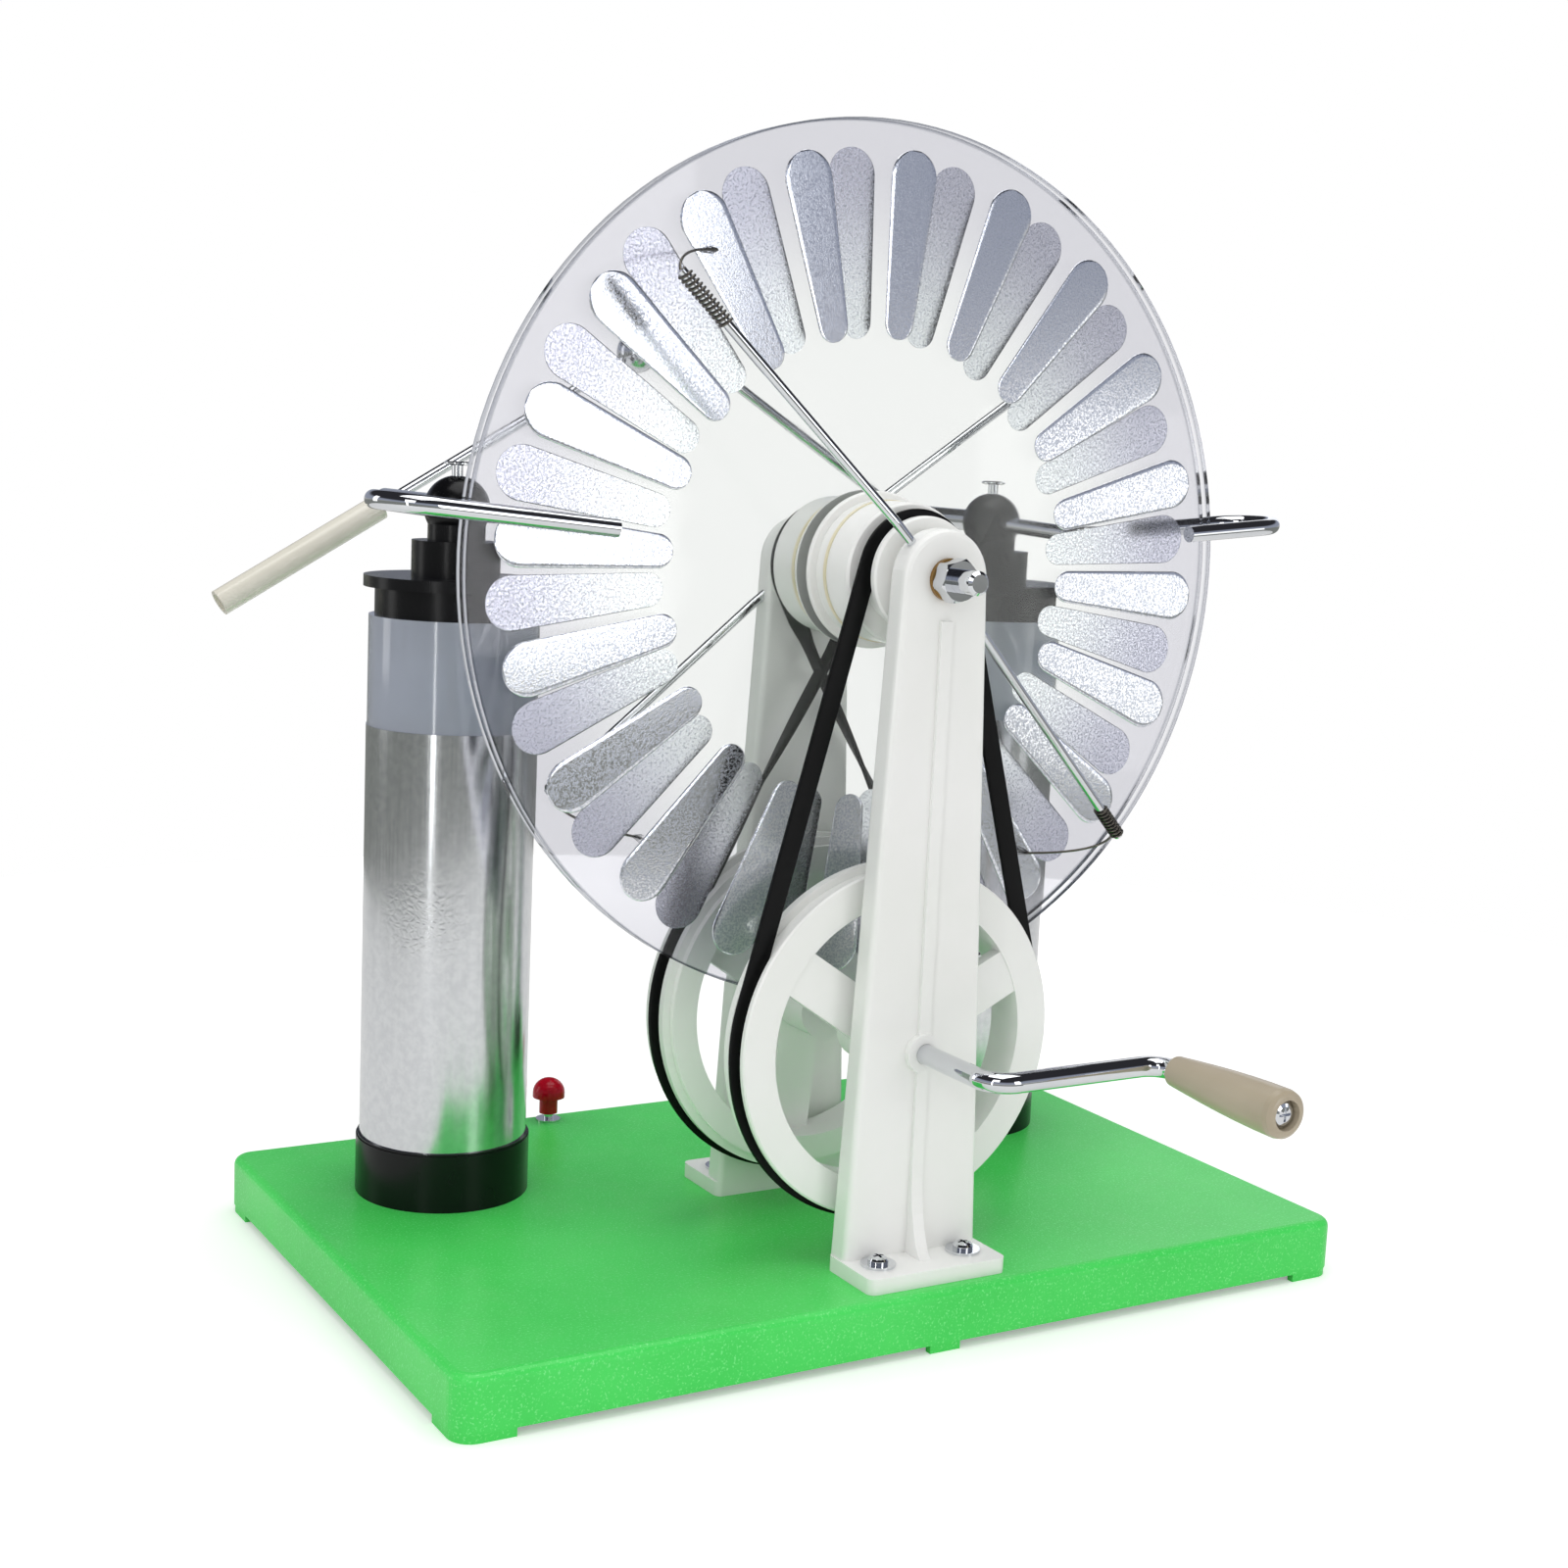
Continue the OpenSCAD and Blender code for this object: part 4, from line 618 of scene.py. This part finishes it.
def makeBrushTree():
    tree, inward, outward, keys = startTree("wireAndTufts", [
        ("Wire Radius", "Float", 0.00042), ("Tuft Length", "Float", 0.005), ("Tuft Width", "Float", 0.0005),
        ("Bristle Radius", "Float", 0.0001), ("Bristles", "Int", 20)])
    tip = readAttribute(tree, "aim", "FLOAT_VECTOR")
    size = step(tree, "ShaderNodeVectorMath", {0: tip}, operation="LENGTH")
    isTip = step(tree, "FunctionNodeCompare", {0: size.outputs["Value"], 1: 0.5}, operation="GREATER_THAN")
    path = step(tree, "GeometryNodeMeshToCurve", {"Mesh": inward.outputs["Geometry"]})
    ring = step(tree, "GeometryNodeCurvePrimitiveCircle", {
        "Resolution": brushLook["wireSides"], "Radius": inward.outputs["Wire Radius"]})
    wire = step(tree, "GeometryNodeCurveToMesh",
                {"Curve": path.outputs[0], "Profile Curve": ring.outputs[0], "Fill Caps": True})
    tips = step(tree, "GeometryNodeMeshToPoints",
                {"Mesh": inward.outputs["Geometry"], "Selection": isTip.outputs[0]})
    many = step(tree, "GeometryNodeDuplicateElements",
                {"Geometry": tips.outputs[0], "Amount": inward.outputs["Bristles"]}, domain="POINT")
    scatter = step(tree, "FunctionNodeRandomValue",
                   {"Min": (-1, -1, -1), "Max": (1, 1, 1), "Seed": brushLook["seed"]}, data_type="FLOAT_VECTOR")
    aside = step(tree, "ShaderNodeVectorMath", {0: scatter.outputs[0], "Scale": inward.outputs["Tuft Width"]},
                 operation="SCALE")
    placed = step(tree, "GeometryNodeSetPosition", {"Geometry": many.outputs[0], "Offset": aside.outputs[0]})
    splay = step(tree, "ShaderNodeVectorMath", {0: scatter.outputs[0], "Scale": brushLook["splay"]}, operation="SCALE")
    aim = step(tree, "ShaderNodeVectorMath", {0: tip, 1: splay.outputs[0]}, operation="ADD")
    facing = step(tree, "FunctionNodeAlignRotationToVector", {"Vector": aim.outputs[0]}, axis="Z")
    line = step(tree, "GeometryNodeMeshLine", {"Count": 2}, mode="END_POINTS")
    reach = step(tree, "ShaderNodeCombineXYZ", {"Z": inward.outputs["Tuft Length"]})
    tree.links.new(reach.outputs[0], line.inputs["Offset"])
    hairPath = step(tree, "GeometryNodeMeshToCurve", {"Mesh": line.outputs[0]})
    hairRing = step(tree, "GeometryNodeCurvePrimitiveCircle",
                    {"Resolution": brushLook["bristleSides"], "Radius": inward.outputs["Bristle Radius"]})
    hair = step(tree, "GeometryNodeCurveToMesh",
                {"Curve": hairPath.outputs[0], "Profile Curve": hairRing.outputs[0], "Fill Caps": True})
    tuft = step(tree, "GeometryNodeInstanceOnPoints",
                {"Points": placed.outputs[0], "Instance": hair.outputs[0], "Rotation": facing.outputs[0]})
    both = step(tree, "GeometryNodeJoinGeometry")
    tree.links.new(wire.outputs[0], both.inputs[0])
    tree.links.new(tuft.outputs[0], both.inputs[0])
    smooth = step(tree, "GeometryNodeSetShadeSmooth", {"Geometry": both.outputs[0]})
    endTree(tree, outward, smooth.outputs[0], finish["brushSteel"])
    return tree, keys


def brushPath(coilLength, trail):   # one brush beside the disc, in mm, with the rod along x: coil, lead, tuft's root
    along = Vector((rodLook["end"] - rodLook["knee"], 0, rodLook["endOut"] - rodLook["kneeOut"])).normalized()
    up = Vector((-along.z, 0, along.x))
    rodEnd = Vector((rodLook["end"], 0, rodLook["endOut"]))
    coil = []
    turns = int(coilLength / brushLook["coilPitch"])
    perTurn = brushLook["turnSteps"]
    for k in range(turns * perTurn + 1):
        a = math.pi + 2 * math.pi * k / perTurn   # starts on the disc's side of the rod
        middle = rodEnd + along * (k * brushLook["coilPitch"] / perTurn - coilLength)
        coil.append(middle + brushLook["coilRadius"] * (math.cos(a) * up + math.sin(a) * Vector((0, 1, 0))))

    def trailing(place):
        return Vector((place[0], trail * place[1], place[2]))

    knee = rodEnd + trailing(brushLook["knee"])
    root = trailing(brushLook["tip"]) + trailing(brushLook["root"])
    lead = []
    for k in range(1, brushLook["leadSteps"] + 1):
        f = k / brushLook["leadSteps"]
        a, b = coil[-1].lerp(knee, f), knee.lerp(root, f)
        lead.append(a.lerp(b, f))
    return coil + lead, root


def makeBrushes():
    tree, keys = makeBrushTree()
    for name, node, rear in (("frontBrushes", "front_brushes", False), ("rearBrushes", "rear_brushes", True)):
        angle = brushLook["rearAngle" if rear else "frontAngle"]
        coils = brushLook["rearCoils" if rear else "frontCoils"]
        points, edges, aims = [], [], []
        for end in (0, 1):
            turn = Matrix.Rotation(math.radians(angle + 180 * end), 3, "Z")
            path, root = brushPath(coils[end], 1 if rear else -1)
            first = len(points)
            points += [sidePoint(turn @ p, rear) for p in path]
            edges += [(first + i, first + i + 1) for i in range(len(path) - 1)]
            aims += [Vector((0, 0, 0))] * len(path)
            points.append(sidePoint(turn @ root, rear))
            aims.append(sideVector((0, 0, -1), rear))
        mesh = bpy.data.meshes.new(name + "Path")
        mesh.from_pydata(points, edges, [])
        layer = mesh.attributes.new("aim", "FLOAT_VECTOR", "POINT")
        layer.data.foreach_set("vector", [c for v in aims for c in v])
        grown = growMesh(name, tree, keys, {
            "Wire Radius": brushLook["wireRadius"] * mm, "Tuft Length": brushLook["tuftLength"] * mm,
            "Tuft Width": brushLook["tuftWidth"] * mm, "Bristle Radius": brushLook["tuftRadius"] * mm,
            "Bristles": brushLook["tuftCount"],
        }, mesh)
        addPiece(name, grown, "base", [node])
    print("brushes wound")


makeBrushes()

sectorLook = {
    "count": 20, "outerRadius": 9.0, "innerRadius": 5.7, "outerAt": 132.0, "innerAt": 83.7,   # mm
    "discOut": 3.75, "thickness": 0.29, "rolled": 0.13, "crinkle": 0.02,
    "frontFirst": 14.4, "rearFirst": 5.4,   # degrees to the first foil
    "clear": 0.01, "crinkleScale": 170.0, "endSteps": 8, "straightSteps": 18,
    "across": (-1.0, -0.96, -0.8, -0.55, -0.28, 0.0, 0.28, 0.55, 0.8, 0.96, 1.0),
}


def makeSectorTree(material):
    tree, inward, outward, keys = startTree("foilsRoundDisc", [
        ("Count", "Int", 20), ("First Angle", "Float", 0.0), ("Crinkle", "Float", 0.0001), ("Top", "Float", 0.0003)])
    spots = step(tree, "GeometryNodePoints", {"Count": inward.outputs["Count"]})
    index = step(tree, "GeometryNodeInputIndex")
    share = step(tree, "ShaderNodeMath", {0: 2 * math.pi, 1: inward.outputs["Count"]}, operation="DIVIDE")
    turn = step(tree, "ShaderNodeMath", {0: index.outputs[0], 1: share.outputs[0], 2: inward.outputs["First Angle"]},
                operation="MULTIPLY_ADD")
    angles = step(tree, "ShaderNodeCombineXYZ", {"Z": turn.outputs[0]})
    rotation = step(tree, "FunctionNodeEulerToRotation", {"Euler": angles.outputs[0]})
    foils = step(tree, "GeometryNodeInstanceOnPoints", {
        "Points": spots.outputs[0], "Instance": inward.outputs["Geometry"], "Rotation": rotation.outputs[0]})
    real = step(tree, "GeometryNodeRealizeInstances", {"Geometry": foils.outputs[0]})
    place = step(tree, "GeometryNodeInputPosition")
    parts = step(tree, "ShaderNodeSeparateXYZ", {"Vector": place.outputs[0]})
    isTop = step(tree, "FunctionNodeCompare", {0: parts.outputs["Z"], 1: inward.outputs["Top"]},
                 operation="GREATER_THAN")
    noise = step(tree, "ShaderNodeTexNoise", {
        "Vector": place.outputs[0], "Scale": sectorLook["crinkleScale"], "Detail": 3.0})
    dent = step(tree, "ShaderNodeMath", {0: noise.outputs[0], 1: inward.outputs["Crinkle"]}, operation="MULTIPLY")
    down = step(tree, "ShaderNodeMath", {0: dent.outputs[0], 1: -1.0}, operation="MULTIPLY")
    shift = step(tree, "ShaderNodeCombineXYZ", {"Z": down.outputs[0]})
    dented = step(tree, "GeometryNodeSetPosition", {
        "Geometry": real.outputs[0], "Selection": isTop.outputs[0], "Offset": shift.outputs[0]})
    smooth = step(tree, "GeometryNodeSetShadeSmooth", {"Geometry": dented.outputs[0]})
    endTree(tree, outward, smooth.outputs[0], material)
    return tree, keys


def oneFoil():   # one foil lying along x: a closed leaf with round ends and a rolled border
    outer, inner = sectorLook["outerRadius"], sectorLook["innerRadius"]
    xOut, xIn = sectorLook["outerAt"], sectorLook["innerAt"]
    lean = math.asin((outer - inner) / (xOut - xIn))

    def halfWidth(x):
        if x > xOut + outer * math.sin(lean):
            return math.sqrt(max(outer ** 2 - (x - xOut) ** 2, 0))
        if x < xIn + inner * math.sin(lean):
            return math.sqrt(max(inner ** 2 - (x - xIn) ** 2, 0))
        return (outer + (x - xOut) * math.sin(lean)) / math.cos(lean)

    low, high, clear = xIn - inner, xOut + outer, sectorLook["clear"]
    endSteps, straightSteps = sectorLook["endSteps"], sectorLook["straightSteps"]
    ends = [1 - math.cos(math.pi / 2 * k / endSteps) for k in range(endSteps + 1)]
    rows = [low + inner * f for f in ends]
    rows += [low + inner + (high - low - inner - outer) * k / straightSteps for k in range(1, straightSteps)]
    rows += [high - outer * f for f in reversed(ends)]
    rows[0], rows[-1] = low + clear, high - clear
    across = sectorLook["across"]
    made = bmesh.new()
    layers = []
    for top in (True, False):
        grid = []
        for r, x in enumerate(rows):
            line = []
            for c, f in enumerate(across):
                border = r in (0, len(rows) - 1) or c in (0, len(across) - 1)
                z = sectorLook["discOut"] + clear
                if top:
                    z += sectorLook["rolled"] if border else sectorLook["thickness"] - 2 * clear
                line.append(made.verts.new((x * mm, f * halfWidth(x) * mm, z * mm)))
            grid.append(line)
        layers.append(grid)
    top, bottom = layers
    columns = len(across)
    for r in range(len(rows) - 1):
        for c in range(columns - 1):
            made.faces.new((top[r][c], top[r + 1][c], top[r + 1][c + 1], top[r][c + 1]))
            made.faces.new((bottom[r][c], bottom[r][c + 1], bottom[r + 1][c + 1], bottom[r + 1][c]))
        for c in (0, columns - 1):
            made.faces.new((top[r][c], bottom[r][c], bottom[r + 1][c], top[r + 1][c]))
    for r in (0, len(rows) - 1):
        for c in range(columns - 1):
            made.faces.new((top[r][c], bottom[r][c], bottom[r][c + 1], top[r][c + 1]))
    bmesh.ops.recalc_face_normals(made, faces=made.faces)
    mesh = bpy.data.meshes.new("oneFoil")
    made.to_mesh(mesh)
    made.free()
    return mesh


def makeSectors():
    for name, node, rear, body in (("frontSectorFoils", "front_sectors", False, "front_disc_assembly"),
                                   ("rearSectorFoils", "rear_sectors", True, "rear_disc_assembly")):
        material = finish["rearSectorFoil" if rear else "frontSectorFoil"]
        tree, keys = makeSectorTree(material)
        mesh = growMesh(name, tree, keys, {
            "Count": sectorLook["count"],
            "First Angle": math.radians(sectorLook["rearFirst" if rear else "frontFirst"]),
            "Crinkle": sectorLook["crinkle"] * mm, "Top": (sectorLook["discOut"] + 0.2) * mm,
        }, oneFoil())
        toSide = Matrix(((1, 0, 0, 0), (0, 0, 1 if rear else -1, machine["discMidY"]),
                         (0, 1, 0, machine["axleZ"]), (0, 0, 0, 1)))
        mesh.transform(toSide)
        if rear:
            mesh.flip_normals()   # the mirror to the rear turned them
        addPiece(name, mesh, body, [node])
    print("sector foils stuck on")


makeSectors()

floorLook = {
    "radius": 0.78, "sides": 96, "colour": "f4f4f3", "shade": "f8f8f7", "roughness": 0.8, "shine": 0.1,
    "lift": 0.30, "farLift": 0.55,      # light added for the camera near and far, so that the floor reads white
    "fadeFrom": 0.35, "fadeTo": 0.75,   # metres from the middle, over which the one turns into the other
}


def makeFloor():
    material, tree, shader = startMaterial("studioFloor")
    drift = noiseIn(tree, objectPoint(tree), 1.5, 2.0, 0.5)
    tree.links.new(blendColour(tree, drift, paint(floorLook["colour"]), paint(floorLook["shade"])),
                   shader.inputs["Base Color"])
    shader.inputs["Roughness"].default_value = floorLook["roughness"]
    shader.inputs["Specular IOR Level"].default_value = floorLook["shine"]
    path = tree.nodes.new("ShaderNodeLightPath")
    away = tree.nodes.new("ShaderNodeVectorMath")
    away.operation = "LENGTH"
    tree.links.new(objectPoint(tree), away.inputs[0])
    lift = spread(tree, away.outputs["Value"], floorLook["fadeFrom"], floorLook["fadeTo"], floorLook["lift"],
                  floorLook["farLift"])
    seen = combine(tree, "MAXIMUM", path.outputs["Is Camera Ray"], path.outputs["Is Transmission Ray"])
    shader.inputs["Emission Color"].default_value = (1, 1, 1, 1)
    tree.links.new(combine(tree, "MULTIPLY", seen, lift), shader.inputs["Emission Strength"])
    mesh = bpy.data.meshes.new("studioFloor")
    turns = [2 * math.pi * k / floorLook["sides"] for k in range(floorLook["sides"])]
    mesh.from_pydata([(floorLook["radius"] * math.cos(a), floorLook["radius"] * math.sin(a), 0) for a in turns], [],
                     [tuple(range(floorLook["sides"]))])
    mesh.materials.append(material)
    floor = bpy.data.objects.new("studioFloor", mesh)
    studio.collection.objects.link(floor)


makeFloor()

# radiance of each softbox, its size and place, and what it looks at, in metres
softboxes = {
    "frontMiddle": {"radiance": 2.6, "size": (0.32, 0.50), "place": (0.31, -1.12, 0.36), "aim": (-0.05, -0.04, 0.28)},
    "frontFar": {"radiance": 1.2, "size": (0.38, 0.34), "place": (0.98, -1.05, 0.17), "aim": (0.05, -0.04, 0.20)},
    "frontLeft": {"radiance": 1.9, "size": (0.5, 0.6), "place": (-0.95, -0.95, 0.95), "aim": (0.0, 0.0, 0.15)},
    "leftStrip": {"radiance": 9.0, "size": (0.03, 0.55), "place": (-0.69, -0.52, 0.29), "aim": (-0.15, 0.0, 0.29)},
    "overhead": {"radiance": 2.2, "size": (1.3, 0.9), "place": (0.05, -0.1, 1.45), "aim": (0.0, 0.0, 0.1)},
    "rearLeft": {"radiance": 1.4, "size": (0.35, 0.9), "place": (-1.2, 0.75, 0.5), "aim": (0.0, 0.0, 0.2)},
    "rearRight": {"radiance": 0.8, "size": (0.5, 0.7), "place": (1.1, 0.85, 0.7), "aim": (0.0, 0.0, 0.2)},
}


def makeSoftboxes():
    for name, box in softboxes.items():
        light = bpy.data.lights.new(name, "AREA")
        light.shape = "RECTANGLE"
        light.size, light.size_y = box["size"]
        light.energy = box["radiance"] * math.pi * box["size"][0] * box["size"][1]
        lamp = bpy.data.objects.new(name, light)
        lamp.location = box["place"]
        lamp.rotation_euler = (Vector(box["aim"]) - Vector(box["place"])).to_track_quat("-Z", "Y").to_euler()
        lamp.visible_camera = False
        lamp.visible_transmission = not name.startswith("rear")   # the rear ones would show through the discs
        studio.collection.objects.link(lamp)


makeSoftboxes()

surround = {
    "fill": 0.53,            # what soft light comes from all round
    # what gloss sees level with the machine, just above that, high up, and below
    "horizon": 0.5, "low": (0.32, 0.345, 0.42), "high": (0.03, 0.03, 0.035), "below": (0.23, 0.24, 0.225),
    # where each begins or ends, as heights on a ball of radius one
    "horizonEnds": 0.01, "lowFrom": 0.08, "lowTo": 0.25, "highFrom": 0.45, "belowFrom": -0.02,
}


def makeSurround():   # white to the camera and through glass, banded in gloss, and a soft fill for the rest
    world = bpy.data.worlds.new("studioSurround")
    studio.world = world
    world.use_nodes = True
    tree = world.node_tree
    tree.nodes.clear()
    path = tree.nodes.new("ShaderNodeLightPath")
    coordinate = tree.nodes.new("ShaderNodeTexCoord")
    axes = tree.nodes.new("ShaderNodeSeparateXYZ")
    tree.links.new(coordinate.outputs["Generated"], axes.inputs["Vector"])
    level = combine(tree, "ABSOLUTE", axes.outputs["Z"], 0.0)
    rising = spread(tree, axes.outputs["Z"], surround["lowTo"], surround["highFrom"])
    above = blendColour(tree, rising, list(surround["low"]) + [1.0], list(surround["high"]) + [1.0])
    falling = spread(tree, axes.outputs["Z"], surround["belowFrom"], 0.0)
    beyond = blendColour(tree, falling, list(surround["below"]) + [1.0], above)
    height = spread(tree, level, surround["horizonEnds"], surround["lowFrom"])
    inGloss = blendColour(tree, height, [surround["horizon"]] * 3 + [1.0], beyond)
    direct = combine(tree, "MAXIMUM", path.outputs["Is Camera Ray"], path.outputs["Is Transmission Ray"])
    lit = blendColour(tree, path.outputs["Is Glossy Ray"], [surround["fill"]] * 3 + [1.0], inGloss)
    background = tree.nodes.new("ShaderNodeBackground")
    tree.links.new(blendColour(tree, direct, lit, [1.0, 1.0, 1.0, 1.0]), background.inputs["Color"])
    output = tree.nodes.new("ShaderNodeOutputWorld")
    tree.links.new(background.outputs["Background"], output.inputs["Surface"])


makeSurround()

# metres, radians and mm
viewpoint = {"place": (-0.41628, -0.69750, 0.29800), "yaw": -0.533, "pitch": 0.151, "roll": 0.045, "lens": 51.46,
             "sensor": 36.0, "nearest": 0.01}


def makeCamera():
    data = bpy.data.cameras.new("photoCamera")
    data.sensor_width = viewpoint["sensor"]
    data.lens = viewpoint["lens"]
    data.clip_start = viewpoint["nearest"]
    camera = bpy.data.objects.new("photoCamera", data)
    yaw, pitch = viewpoint["yaw"], viewpoint["pitch"]
    forward = Vector((-math.sin(yaw) * math.cos(pitch), math.cos(yaw) * math.cos(pitch), -math.sin(pitch)))
    camera.rotation_mode = "QUATERNION"
    camera.rotation_quaternion = forward.to_track_quat("-Z", "Y") @ Quaternion((0, 0, 1), viewpoint["roll"])
    camera.location = viewpoint["place"]
    studio.collection.objects.link(camera)
    studio.camera = camera


makeCamera()
print("studio ready")
